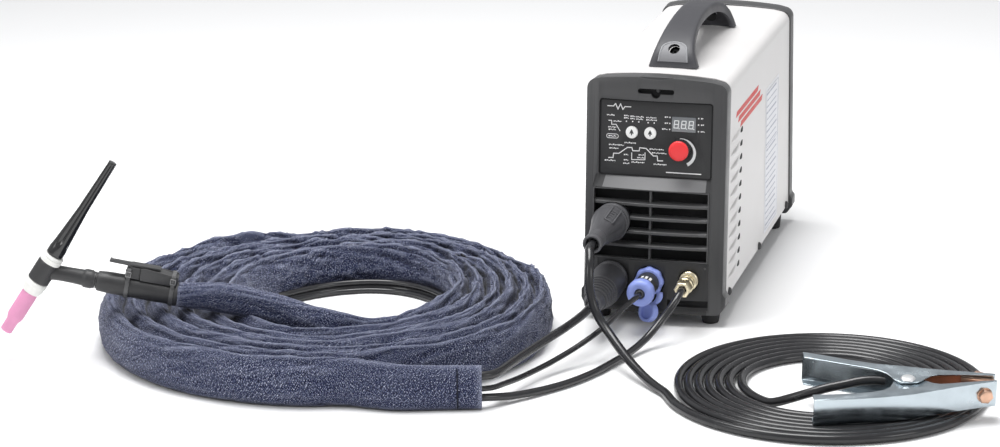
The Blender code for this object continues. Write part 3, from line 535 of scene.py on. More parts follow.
def make_camera():
    """The camera stands in front of the machine, to the right and above it."""
    azimuth, elevation, roll = (math.radians(a) for a in CAMERA_TURNS)
    back = Vector((math.sin(azimuth) * math.cos(elevation), -math.cos(azimuth) * math.cos(elevation),
                   math.sin(elevation)))
    right = Vector((math.cos(azimuth), math.sin(azimuth), 0))
    up = back.cross(right)
    right, up = (right * math.cos(roll) + up * math.sin(roll), up * math.cos(roll) - right * math.sin(roll))
    data = bpy.data.cameras.new("camera")
    data.lens = FOCAL_LENGTH
    data.sensor_width = 36.0
    data.clip_end = 50.0
    camera = shown("camera", data)
    camera.matrix_world = Matrix.Translation(CAMERA_AT) @ Matrix((right, up, back)).transposed().to_4x4()
    bpy.context.scene.camera = camera


def make_light():
    """A bright plain surround, a wide soft light overhead and a weaker one on each side."""
    bpy.context.scene.view_settings.view_transform = "Standard"
    world = bpy.data.worlds.new("studio")
    bpy.context.scene.world = world
    world.use_nodes = True
    backdrop = world.node_tree.nodes["Background"].inputs
    backdrop["Color"].default_value = (0.97, 0.98, 1.0, 1)
    backdrop["Strength"].default_value = 0.50
    for name, at, size, power in LIGHTS:
        data = bpy.data.lights.new(name, "AREA")
        data.size = size
        data.energy = power
        aim = AIMED_AT - Vector(at)
        light = shown(name, data)
        light.matrix_world = Matrix.Translation(at) @ aim.to_track_quat("-Z", "Y").to_matrix().to_4x4()
    bm = bmesh.new()
    bmesh.ops.create_grid(bm, x_segments=8, y_segments=8, size=12.0)
    floor = shown("floor", mesh_of("floor", bm))
    floor.data.materials.append(FLOOR)
    floor.location.z = -0.0003


# ---------------------------------------------------------------- cords

# Radii, centres and routes are in millimetres.
EARTH_RADIUS = 5.3
COIL_CENTRE = (244.0, -433.0)
EARTH_LEAD = [(-50, -340, 125), (-50, -348, 125), (-49.6, -356, 124.3), (-49, -362, 122.4), (-47, -368, 118.5),
              (-45, -378, 109), (-43.6, -384.5, 96), (-42, -388, 82), (-37, -391, 65), (-28, -396, 50),
              (-15, -406, 38), (0, -422, 28), (18, -443, 19), (40, -467, 10.5), (58, -486, 6.5), (72, -502.5, 5.5)]
EARTH_TAIL = [(186, -505, 5.6), (198, -513, 9), (217, -521, 18), (236, -523, 26), (256, -521, 33),
              (275, -517, 37.5), (291, -512, 41), (306, -508, 42), (318, -506.5, 41.5)]
TORCH_LEAD = [(-51, -334, 49.8), (-51, -342, 49.5), (-51.5, -351, 49), (-56, -371, 45.5), (-66, -407, 42),
              (-77, -439, 39), (-87, -474, 37), (-95.5, -508, 36), (-101, -540, 36), (-104, -560, 36.5),
              (-109.5, -575, 37), (-118, -582.5, 37.5), (-132, -589, 37.5)]
CONTROL_LEAD = [(-3, -296, 54), (-3, -303, 54), (-3.5, -311, 53.8), (-7, -322, 52.2), (-13, -341, 48.5),
                (-22, -369, 41), (-33, -392, 33), (-46, -413, 25.5), (-60, -435, 19), (-73, -458, 14.5),
                (-85, -484, 12.5), (-95, -513, 13), (-103, -542, 16), (-109, -567, 19.5), (-119, -582, 22),
                (-132, -588.5, 22.5)]
GAS_HOSE = [(44.5, -279, 57), (44.5, -286, 57), (44.3, -293, 56.2), (42, -302, 51), (36, -311, 41.5),
            (27, -322, 29), (15, -344, 14.5), (3, -375, 7), (-9, -409, 4.8), (-20, -444, 4.7), (-32, -472, 4.7),
            (-45, -496, 4.7), (-60, -518, 5), (-75, -538, 6), (-90, -556, 7.5), (-104, -571, 10),
            (-118, -582.5, 12), (-132, -588.5, 12)]


def cord(name, route, radius, material, spacing=None):
    """A round cord as a curve of one open spline on a smooth line through its route."""
    points = smooth_route(route, spacing or 1.2 * radius)
    curve = bpy.data.curves.new(name, "CURVE")
    curve.dimensions = "3D"
    curve.bevel_depth = radius * MM
    curve.bevel_resolution = 4
    curve.use_fill_caps = True
    spline = curve.splines.new("POLY")
    spline.points.add(len(points) - 1)
    for point, co in zip(spline.points, points):
        point.co = (*(co * MM), 1)
    spline.use_smooth = True
    curve.materials.append(material)
    return shown(name, curve)


def spiral(start, end, turns):
    """The flat winding of the earth cable, from its outer turn to its inner one."""
    centre, outermost, innermost = COIL_CENTRE, 179.5, 97.5
    first = Vector(start) - Vector((*centre, start[2]))
    last = Vector(end) - Vector((*centre, end[2]))
    angle = math.atan2(first.y, first.x)
    closing = math.atan2(last.y, last.x)
    sweep = (closing - angle) % math.tau + turns * math.tau
    count = turns * 30 + 12
    points = []
    for step in range(1, count):
        share = step / count
        turn = angle + sweep * share
        eased = outermost - (outermost - innermost) * share
        radius = eased + (first.length - outermost) * max(0.0, 1 - share * turns * 4)
        radius += (last.length - innermost) * max(0.0, 1 - (1 - share) * turns * 5)
        sway = 1.2 * math.sin(2 * turn + 0.7) * (1 - share) + 0.5 * math.sin(5 * turn)
        lift = 0.35 * (1 + math.sin(3.1 * turn))
        points.append((centre[0] + (radius + sway * 0.3) * math.cos(turn),
                       centre[1] + (radius + sway * 0.3) * math.sin(turn), 5.4 + lift))
    return points


def make_cords():
    """The earth cable with its coil, and the three leads that go into the sleeve."""
    route = EARTH_LEAD + spiral(EARTH_LEAD[-1], EARTH_TAIL[0], 7) + EARTH_TAIL
    made = {"earth": cord("earth_cable", route, EARTH_RADIUS, CABLE, 6.0)}
    settle(made["earth"], "machine", ("earth_lead", "earth_coil", "earth_tail"))
    for key, route, radius, material, node in (("torch", TORCH_LEAD, 5.0, CABLE, "torch_lead"),
                                               ("control", CONTROL_LEAD, 3.3, CABLE, "control_lead"),
                                               ("gas", GAS_HOSE, 4.4, HOSE, "gas_hose")):
        made[key] = cord(key + "_cord", route, radius, material)
        settle(made[key], "machine", (node,))
    return made


# ---------------------------------------------------------------- the sleeve

# OUTER and INNER are the centre and the half axes of the coil's outer and inner edge.
SLEEVE_TURNS = 5
SLEEVE_DEPTH = 6.2
SLEEVE_STEP = 4.5
HEM_POINT = 6
OUTER = ((-362.0, -374.0), (262.0, 250.0))
INNER = ((-344.0, -341.0), (112.0, 148.0))


def coil_edges(turn):
    """The outer and the inner edge of the sleeve's coil, at a turn about it."""
    out, inn = (Vector((at[0] + half[0] * math.cos(turn), at[1] + half[1] * math.sin(turn)))
                for at, half in (OUTER, INNER))
    return out, inn


def sleeve_line():
    """Middle line of the sleeve, from its mouth round the coil to the torch."""
    start, stop = 291.0, 310.0 - 360.0 * (SLEEVE_TURNS + 1)
    line = [(-117.5, -586, 25.5), (-140, -592.8, 25.5), (-165, -600, 25.5), (-212, -613, 26.5)]
    count = 200
    for step in range(count + 1):
        share = step / count
        angle = start + (stop - start) * share
        out, inn = coil_edges(math.radians(angle))
        gone = (start - angle) / 360.0
        depth = (gone - 0.27) / SLEEVE_DEPTH
        at = out.lerp(inn, depth)
        line.append((at.x, at.y, 28.5))
    line += [(-285, -477, 30), (-308, -484, 35), (-331, -487, 42), (-357, -486, 50), (-384, -484, 58),
             (-412, -484.5, 66), (-440, -487, 72), (-468, -490.5, 75), (-494, -494, 75.8), (-507.5, -496.9, 76.8)]
    return smooth_route(line, SLEEVE_STEP)


def sleeve_section(index, points, gaps):
    """Half thickness and half height of the sleeve, and how much it stands up, at one point of its line."""
    here = points[index]
    walked = index * SLEEVE_STEP
    left = (len(points) - 1 - index) * SLEEVE_STEP
    rise = min(1.0, max(0.0, (here.z - 29.0) / 45.0))
    opening = min(1.0, walked / 220.0)
    thick = 9.0 * (1 - opening) + gaps[index] * 0.53 * opening
    tall = 25.2 * (1 - opening) + 28.3 * opening
    flat = rise * rise * (3 - 2 * rise)
    thick = thick * (1 - flat) + 10.5 * flat
    tall = tall * (1 - flat) + 18.0 * flat
    close = max(0.0, 1 - left / 48.0) ** 0.8
    return thick * (1 - close) + 13.6 * close, tall * (1 - close) + 13.6 * close, 1 - flat, walked


def make_sleeve():
    """The denim sleeve as one woven tube: wound on edge, folded and creased, with a hemmed mouth."""
    points = sleeve_line()
    gaps = []
    for here in points:
        out, inn = coil_edges(math.atan2(here.y - OUTER[0][1], here.x - OUTER[0][0]))
        gaps.append((out - inn).length / SLEEVE_DEPTH)
    sides = 44
    bm = bmesh.new()
    layer = bm.loops.layers.uv.new("weave")
    rings = []
    directions = frames_along(points, Z)
    for index, (here, (_, side, rise)) in enumerate(zip(points, directions)):
        thick, tall, upright_share, walked = sleeve_section(index, points, gaps)
        calm = min(1.0, walked / 160.0)
        far = min(1.0, max(0.0, (here.y + 470.0) / 220.0))
        lively = calm * (0.35 + 0.65 * far)
        lean = 8.0 * noise.noise(Vector((walked / 150.0, 3.1, 0))) * upright_share * calm
        crest = (5.5 * noise.noise(Vector((walked / 80.0, 9.7, 1.3))) * (0.5 + 0.5 * far)
                 + 1.6 * math.sin(walked / 530.0)) * upright_share * calm
        ring = []
        for step in range(sides):
            turn = math.tau * step / sides
            cosine, sine = math.cos(turn), math.sin(turn)
            wide = math.copysign(abs(cosine) ** 0.72, cosine)
            high = math.copysign(abs(sine) ** 0.86, sine)
            taper = 1 - upright_share * calm * 0.68 * max(0.0, high) ** 2.2
            across = thick * wide * taper + lean * (high + 0.6) * 0.5
            up = tall * high + crest * max(0.0, high)
            spot = Vector((walked / 46.0, cosine * 1.3, sine * 1.7))
            crease = noise.noise(spot + Vector((walked / 90.0 * sine, 5, 0)))
            sharp = 1 - 2 * abs(noise.noise(Vector((walked / 44.0 + 1.3 * sine, cosine * 0.9, sine * 1.1 + 7))))
            pleat = 1 - 2 * abs(noise.noise(Vector((walked / 120.0, cosine * 0.7 + 3, sine * 3.4 + 2))))
            small = noise.noise(Vector((walked / 15.0, cosine * 3.0, sine * 3.0)))
            bulge = lively * (3.4 * crease + 4.2 * sharp ** 4 + 0.8 * small) + calm * 2.2 * pleat ** 5
            bulge = min(6.0, bulge) * (0.45 + 0.55 * upright_share)
            valley = 1 - 2 * abs(noise.noise(Vector((walked / 62.0 + 2.1 * sine, cosine * 1.2 + 11, sine * 1.5))))
            bulge -= (0.8 + 5.2 * lively) * calm * valley ** 6
            across += bulge * wide * (0.65 if abs(high) < 0.8 else 1.0)
            up += bulge * 0.8 * max(0.0, high)
            at = here + side * across + rise * up
            at.z = max(at.z, 0.15 + 0.3 * abs(wide))
            ring.append(bm.verts.new(at))
        rings.append(ring)
    around = 0.150
    for index in range(len(rings) - 1):
        for step in range(sides):
            after = (step + 1) % sides
            face = bm.faces.new((rings[index][step], rings[index][after], rings[index + 1][after],
                                 rings[index + 1][step]))
            for loop, (along, across) in zip(face.loops, ((index, step), (index, step + 1), (index + 1, step + 1),
                                                          (index + 1, step))):
                loop[layer].uv = (along * SLEEVE_STEP * MM, across / sides * around)
    inner = []
    for depth in (0, 1, 6, 12):
        middle = points[depth]
        shrink = 0.93 if depth < 2 else 0.86
        inner.append([bm.verts.new(middle.lerp(Vector(rings[depth][step].co), shrink)) for step in range(sides)])
    chain = [rings[0]] + inner
    for near, far in zip(chain, chain[1:]):
        for step in range(sides):
            after = (step + 1) % sides
            face = bm.faces.new((near[after], near[step], far[step], far[after]))
            for loop, along in zip(face.loops, (0, 0, 1, 1)):
                loop[layer].uv = (along * 0.004, step / sides * around)
    bm.faces.new(inner[-1])
    bm.faces.new(list(reversed(rings[-1])))
    thing = piece("denim_sleeve", bm, DENIM, angle=180,
                  replaces=("sleeve_outlet", "sleeve_coil", "sleeve_tail"))
    return thing, points, sleeve_section(HEM_POINT, points, gaps)[:2]


def make_hem(points, size):
    """A dark line of stitches round the sleeve's mouth."""
    thick, tall = size
    stitches = []
    at, (_, side, rise) = points[HEM_POINT], frames_along(points, Z)[HEM_POINT]
    for step in range(26):
        for way in (-1, 1):
            height = -0.86 * tall + 1.72 * tall * step / 25
            share = min(1.0, abs(height) / tall)
            across = (thick + 0.35) * (1 - share ** 2.4) ** 0.42 * way
            middle = at + side * across + rise * height
            stitches.append(pipe([middle - rise * 1.2, middle, middle + rise * 1.2], 0.95, 6))
    return piece("sleeve_stitches", join(*stitches), STITCH, angle=60)


def make_inner_hoses():
    """The hoses that lie bare along the inner rear of the sleeve's hole, on the floor."""
    made = []
    for shift, height, radius in ((-7.0, 5.2, 4.8), (-15.0, 3.6, 3.2), (-8.5, 12.6, 3.6)):
        route = []
        for step in range(28):
            turn = math.radians(10 + 150 * step / 27)
            fade = math.sin(math.radians(180 * step / 27)) ** 0.5
            further = shift * fade + 20 - 16 * fade
            (x, y), (wide, deep) = INNER
            route.append((x + (wide + further) * math.cos(turn), y + (deep + further) * math.sin(turn), height))
        made.append(pipe(smooth_route(route, 5), radius, 14))
    return piece("inner_hoses", join(*made), HOSE, angle=60)


# ---------------------------------------------------------------- the machine's front

def crowned_top(half_width, top, crown, radius, inset=0.0):
    """The crowned roof line with its rounded corners, from the right side to the left, moved in by an inset."""
    crown_radius = (half_width ** 2 + crown ** 2) / (2 * crown)
    swing = math.degrees(math.asin((half_width - radius) / crown_radius))
    right = arc((half_width - radius, top - radius), radius - inset, 0, 90 - swing, 10)
    roof = arc((0, top + crown - crown_radius - 0.5), crown_radius - inset, 90 - swing, 90 + swing, 24)[1:-1]
    return right + roof + [(-x, z) for x, z in reversed(right)]


def shell_outline():
    """The cross-section of both bezels: crowned top, flared and chamfered foot."""
    foot = [(78, -13), (80, -12.6), (82.4, -10.6), (88.0, -2.6), (88.5, -1), (88.5, 7.6), (88.1, 9), (85.4, 12.6),
            (85, 14.5)]
    return foot + crowned_top(85.0, 267.0, 6.0, 12.0) + [(-x, z) for x, z in reversed(foot)]


def arch_outline(inset, radius, floor):
    """The same outline moved in by an inset, with a flat floor in place of the foot."""
    half = 85.0 - inset
    return [(half, floor)] + crowned_top(half, 267.0 - inset, 6.0, radius) + [(-half, floor)]


BOW_RADIUS = (90.0 ** 2 + 10.0 ** 2) / 20.0
EARTH_SEAT = (-50, -236, 125)
TORCH_SEAT = (-51, -241.5, 54)
CONTROL_SEAT = (-3, -241.5, 54)
GAS_SEAT = (44.5, -241.5, 57)


def front_rod(radius, low, high, steps, at):
    """A level round bar for the front's own leaning frame, at a point of the row frame."""
    place = FRONT.inverted() @ Matrix.Translation([c * MM for c in at])
    return rod(radius, low, high, steps, place.translation / MM, place.to_3x3() @ Vector(AHEAD))


def face_y(x):
    """Where the bowed front face is at x, in the front frame."""
    return BOW_RADIUS - 10.0 - math.sqrt(BOW_RADIUS ** 2 - x ** 2)


def bowed(x0, x1, corners):
    """A bar across the front. A corner is (near, y, z), with y measured from the bowed face if near is true."""
    rings = []
    for step in range(25):
        x = x0 + (x1 - x0) * step / 24
        rings.append([(x, face_y(x) + y if near else y, z) for near, y, z in corners])
    return skin(rings)


def make_front_bezel():
    """The moulded front: bowed face, panel recess, key slot, sloped sill, air opening and lower panel."""
    shell = upright(shell_outline(), -40, 22)
    swing = math.degrees(math.asin(83.0 / BOW_RADIUS))
    face = arc((0, BOW_RADIUS - 10), BOW_RADIUS, 270 - swing, 270 + swing, 40)
    right_cheek = arc((83.0, 4.6), 7.0, -72, 0, 7)
    plan = [(90, 60), (-90, 60), (-90, 6)] + [(-x, y) for x, y in reversed(right_cheek)][:-1] + face[1:-1]
    plan += right_cheek[1:] + [(90, 6)]
    slot = rounded_rectangle((-21.5, 252.6), (22.5, 258.6), 2.9)
    dip = arc((0.6, 253.2), 5.6, 180, 360, 14)
    lens = arc((0, 375.4), 105.6, 270 - 12.2, 270 + 12.2, 16) + [(24, 282), (-24, 282)]
    tools = [("INTERSECT", prism(plan, -60, 320)),
             upright(arch_outline(3.5, 9.0, -9.0), 4, 60),
             block((19, -30, -4), (68, -2.4, 4.1)),
             upright(rounded_rectangle((-69, 151), (69, 244), 4.0), -30, -0.2),
             upright(rounded_rectangle((-64, 156.2), (64, 239.1), 2.0), -30, 20),
             upright(slot, -30, -3.4), upright(dip, -30, -3.4),
             upright(lens, -30, -7.2),
             skin([[(x, -30, 136.6), (x, -30, 152), (x + 0.6 * (x > 0) + 4 * (x < 0), -1.4, 152),
                    (x, face_y(x) + 0.35, 136.6)] for x in [-76 + 144 * s / 24 for s in range(25)]]),
             bowed(-68, 68, [(False, -30, -7.4), (True, 0.75, -7.4), (True, 0.75, 50.2), (False, -30, 50.2)]),
             upright(rounded_rectangle((-75.5, 50), (67, 136), 1.5), -30, 21)]
    for (x, seat, z), flange, body in ((EARTH_SEAT, 22.4, 17.3), (TORCH_SEAT, 22.4, 17.3),
                                       (CONTROL_SEAT, 18.8, 14.3), (GAS_SEAT, 12.8, 8.3)):
        tools += [front_rod(flange, 0, 40, 48, (x, seat, z)), front_rod(body, -30, 20, 40, (x, seat, z))]
    bm = cut("front_bezel", shell, tools)
    for face in bm.faces:
        middle = face.calc_center_median()
        normal = face.normal
        deep = middle.y > face_y(max(-80, min(80, middle.x))) + 1.3
        low_slot = -4.6 < middle.z < 4.7 and 18.5 < middle.x < 68.5
        # Faces deep in the low slot and in the key slot take the shadow black: painted shade.
        if deep and (low_slot or (247 < middle.z < 259 and abs(middle.x - 0.5) < 22.4)):
            face.material_index = 3
        # Upward-facing sill faces take the lighter grey: painted light where the slope faces the overhead light.
        elif -77 < middle.x < 72 and 136 < middle.z < 152.5 and normal.z > 0.2 and normal.y < -0.3:
            face.material_index = 1
        elif abs(middle.x) < 68.2 and middle.z < 50.4 and normal.y < -0.6:
            face.material_index = 2
    piece("bezel_front", bm, BEZEL, FRONT, replaces=("front_bezel",), angle=28, bevel=0.5,
          extra=(SILL_PAINTED_LIGHT, PANEL_BLACK, SHADOW_BLACK))
    peg = moved(lathe([(0, 2.0), (1.7, 2.0), (2.2, 1.4), (2.2, -2), (0, -2)], 20), (2.6, -5.0, 256.4), axis=AHEAD)
    piece("slot_peg", peg, BLACK, FRONT, angle=50)
    dot = moved(lathe([(0, 0.5), (1.3, 0.4), (1.6, -1), (0, -1)], 16), (63.5, face_y(63.5) + 0.7, 44), axis=AHEAD)
    piece("grille_screw", dot, BEZEL, FRONT, angle=50)


def seat_rods():
    """The room that the two large sockets take in front of the grille."""
    return [front_rod(22.3, 0, 90, 40, (x, -196, z)) for x, _, z in (EARTH_SEAT, TORCH_SEAT)]


def make_grille():
    """Four bowed slats and a divider in the rim of the air opening, with a dark sheet of painted shade behind them."""
    parts = [cut("rim", upright(rounded_rectangle((-75.2, 50.3), (66.7, 135.7), 1.2), -5.5, 2.5),
                 [upright(rounded_rectangle((-73.6, 51.2), (65.2, 134.4), 1.0), -20, 20), *seat_rods()])]
    for row in range(4):
        z = 67.4 + row * 16.9
        edges = [(True, 0.9, z - 2.2), (True, 0.45, z - 1.6), (True, 0.45, z + 0.9), (True, 0.9, z + 1.5),
                 (False, 0.6, z + 3.8), (False, 2.4, z + 3.6), (False, 2.4, z - 2.2)]
        parts.append(cut("slat", bowed(-73.8, 65.4, edges), seat_rods()))
    parts.append(block((-5.8, -5.2, 51), (-3.2, 2.3, 134.6), 0.3, 1))
    piece("grille_front", join(*parts), BEZEL, FRONT, replaces=("front_grille",), angle=30)
    # A near-black sheet behind the grille darkens the view through it: painted shade, not a real part.
    liner = block((-76, 13.5, 46), (76, 14.3, 140), 0.2, 1)
    piece("grille_shade_sheet", liner, SHADOW_BLACK, FRONT, angle=30)


# SEGMENTS holds the ends of the seven strokes of a digit; all of them are lit.
KNOB_X, KNOB_Z = 30.8, 187.3
LEFT_X, RIGHT_X, BUTTON_Z = -29.3, -6.8, 204.2
SEGMENTS = (((-2.1, 4.4), (2.1, 4.4)), ((2.5, 4.0), (2.5, 0.4)), ((2.5, -0.4), (2.5, -4.0)),
            ((-2.1, -4.4), (2.1, -4.4)), ((-2.5, -0.4), (-2.5, -4.0)), ((-2.5, 4.0), (-2.5, 0.4)),
            ((-2.1, 0), (2.1, 0)))


def stroke(points, width, y, closed=False):
    """A flat printed line through (x, z) points, standing proud of a plane at y."""
    pieces = []
    ends = points + [points[0]] if closed else points
    for (x0, z0), (x1, z1) in zip(ends, ends[1:]):
        along = Vector((x1 - x0, z1 - z0))
        length = along.length
        along.normalize()
        side = Vector((-along.y, along.x)) * width / 2
        reach = along * (width / 2 if length > width else 0)
        a = Vector((x0, z0)) - reach
        b = Vector((x1, z1)) + reach
        pieces.append(upright([tuple(a - side), tuple(b - side), tuple(b + side), tuple(a + side)], y - 0.14, y))
    return join(*pieces)


def marks(x, z, width, y, seed):
    """A row of plain short bars in place of small print."""
    pieces = []
    at = x
    index = 0
    while at < x + width:
        wide = min(0.9 + 1.0 * abs(math.sin(seed * 12.9 + index * 78.2)), x + width - at)
        low = z - 0.75 + 0.35 * (index % 2)
        high = low + 1.5 - 0.3 * (index % 3)
        pieces.append(upright([(at, low), (at + wide, low), (at + wide, high), (at, high)], y - 0.12, y))
        at += wide + 0.5
        index += 1
    return join(*pieces)


def disc(x, z, radius, y):
    """A flat printed dot."""
    return upright(arc((x, z), radius, 0, 342, 19), y - 0.15, y)


def make_panel():
    """The overlay with a dark band round it, for its gap and the painted shade in that gap, and the display with its
    digits.
    """
    outline = rounded_rectangle((-68.5, 151.5), (68.5, 243.5), 3.5)
    tools = [upright(rounded_rectangle((18.7, 207.4), (48.3, 226.0), 0.8), -9, 9)]
    for x in (LEFT_X, RIGHT_X):
        tools.append(upright(arc((x, BUTTON_Z), 7.7, 0, 352.5, 47), -9, 9))
    tools.append(upright(arc((KNOB_X, KNOB_Z), 3.6, 0, 345, 23), -9, 9))
    bm = cut("overlay", upright(outline, -2.5, -0.5), tools)
    piece("panel_overlay", bm, FILM, FRONT, replaces=("control_panel",), angle=30, bevel=0.2)
    # A near-black band round the overlay: partly its real gap, partly painted shade along its edges.
    gap = stroke(rounded_rectangle((-67.7, 152.3), (67.7, 242.7), 3.0), 1.7, -2.5, closed=True)
    piece("panel_gap_shade", gap, SHADOW_BLACK, FRONT, angle=30)
    lens = upright(rounded_rectangle((19, 207.7), (48, 225.7), 0.8), -2.8, 1.0)
    piece("display_lens", lens, WINDOW, FRONT, replaces=("display_window",), angle=30, bevel=0.25)
    digits = []
    for x in (24.6, 33.5, 42.4):
        for (x0, z0), (x1, z1) in SEGMENTS:
            slant = 0.10
            digits.append(stroke([(x + x0 + slant * z0, 216.7 + z0), (x + x1 + slant * z1, 216.7 + z1)], 1.05, -2.8))
        digits.append(disc(x + 3.4, 211.8, 0.65, -2.8))
    piece("display_digits", join(*digits), DIGITS, FRONT, angle=30)


def make_printing():
    """The panel's printed lines and dots, with plain bars in place of its words, and the knob's crescent scale."""
    y = -2.5
    shapes = [stroke([(-54.8, 174.3), (-49.5, 174.6), (-48.9, 179.8), (-42.3, 180.1), (-32.1, 187.8), (-26.7, 188.0),
                      (-25.5, 184.2), (-17.7, 184.4), (-17.1, 188.4), (-9.3, 187.8), (-0.4, 179.3), (4.4, 179.6),
                      (5.0, 173.7), (11.0, 174.0)], 1.1, y),
              stroke([(-26.7, 181.5), (-26.7, 173.4), (-10.5, 174.0), (-10.5, 182.4)], 0.9, y),
              stroke([(-55.4, 219.4), (-51.9, 219.4), (-51.9, 214.8), (-46.5, 215.0), (-41.7, 207.5)], 0.9, y),
              stroke(rounded_rectangle((-57.8, 198.3), (-43.5, 203.2), 2.3, 3), 0.7, y, closed=True),
              stroke([(-57.0, 237.0), (-50.0, 237.0), (-47.5, 240.0), (-44.5, 233.5), (-41.5, 240.0), (-38.5, 233.5),
                      (-36.0, 237.0), (-29.0, 237.0)], 1.1, y),
              stroke([(16.0, 160.4), (57.5, 160.4)], 1.2, y)]
    for index, (x, z, width) in enumerate((
            (-57.8, 226, 9.6), (-49.5, 218.8, 9.6), (-56.0, 211.5, 10), (-55.5, 208.6, 9), (-55.5, 200.7, 9.5),
            (-36.9, 226.2, 6), (-36.9, 223.4, 6), (-29.1, 225.8, 6), (-29.1, 223.0, 5.6), (-21.9, 225.4, 9),
            (-21.9, 222.6, 8), (-9.9, 225.2, 12), (-9.9, 222.4, 12.8), (12.6, 227, 4), (12.6, 219.7, 4),
            (9.6, 212.5, 6.6), (56.4, 227.4, 2.6), (56.4, 219.7, 3.6), (56.4, 211.7, 4.6), (-35.7, 193.5, 13.8),
            (-54.8, 190.2, 18.5), (-54.0, 186.0, 11.4), (-5.1, 187.4, 17.3), (-2.2, 183.0, 18), (-59.6, 171, 13),
            (-36.3, 179, 5.4), (-36.3, 172.6, 5.4), (-36.9, 168.4, 7.2), (-26.7, 170.4, 15.6), (0.2, 169.4, 15.6),
            (-18.3, 179.6, 6.8), (-19.8, 176.2, 8.4))):
        shapes.append(marks(x, z, width, y, index))
    for x, z in ((-33.9, 219.4), (-26.3, 219.5), (-18.9, 219.4), (-7.5, 219.1), (-0.1, 219.1), (18.8, 227),
                 (18.8, 219.6), (18.8, 212.5), (53.5, 227.4), (53.5, 219.7), (53.5, 211.7)):
        shapes.append(disc(x, z, 0.85, y))
    outer = arc((33.6, 184.8), 17.6, -62, 98, 30)
    inner = []
    for step in range(31):
        turn = math.radians(98 - 160 * step / 30)
        radius = 15.6 - 2.0 * step / 30
        inner.append((33.6 + radius * math.cos(turn), 184.8 + radius * math.sin(turn)))
    shapes.append(upright(outer + inner, y - 0.14, y))
    printing = moved(join(*shapes), (-2.2, 0, -2.3))
    piece("panel_printing", printing, PRINT, FRONT, angle=30)


def make_buttons():
    """The two push buttons, each with a plain arrow."""
    for name, node, x in (("left_button", "button_left", LEFT_X), ("right_button", "button_right", RIGHT_X)):
        profile = [(0, 4.2), (5.6, 4.15), (6.9, 3.9), (7.35, 3.3), (7.4, 2.6), (7.4, -4.5), (0, -4.5)]
        button = moved(lathe(profile, 56), (x, 0, BUTTON_Z), axis=AHEAD)
        piece(name + "_key", button, BUTTON, FRONT, body=name, replaces=(node,), angle=40)
        arrow = [(x - 2.6, 202.6), (x - 0.7, 203.0), (x - 0.7, 200.8), (x + 0.7, 200.8), (x + 0.7, 203.0),
                 (x + 2.6, 202.6), (x + 1.6, 205.4), (x, 208.2), (x - 1.6, 205.4)]
        piece(name + "_arrow", upright(arrow, -4.26, -4.05), BLACK, FRONT, body=name, angle=30)


def make_knob():
    """The knob: knurled black skirt, red cap with a soft edge."""
    def knurl(turn, height):
        return 1 + 0.028 * math.cos(24 * turn) * (1 if -5.9 < height < 5.9 else 0.2)
    profile = [(0, 6.3), (10.8, 6.3), (11.6, 5.8), (11.75, 5.0), (11.75, -4.6), (12.1, -5.2), (12.1, -6.3), (3, -6.3),
               (3, -19), (0, -19)]
    skirt = moved(lathe(profile, 192, knurl), (KNOB_X, -9.5, KNOB_Z), axis=AHEAD)
    piece("knob_skirt", skirt, BLACK, FRONT, body="dial", replaces=("dial_knob",), angle=40)
    cap = lathe([(0, 3.55), (7, 3.5), (10.4, 3.2), (11.5, 2.6), (12.0, 1.6), (12.0, 0.3), (11.7, 0), (0, 0)], 64)
    moved(cap, (KNOB_X, -16.1, KNOB_Z), axis=AHEAD)
    piece("knob_cap", cap, RED, FRONT, body="dial", replaces=("dial_cap",), angle=50)


# ---------------------------------------------------------------- cover, base and handle

def sideways(side):
    """The turn that takes X and Y of an outline to Y and Z, and its height to X on that side."""
    return Matrix(((0, 0, side, 0), (1, 0, 0, 0), (0, 1, 0, 0), (0, 0, 0, 1)))


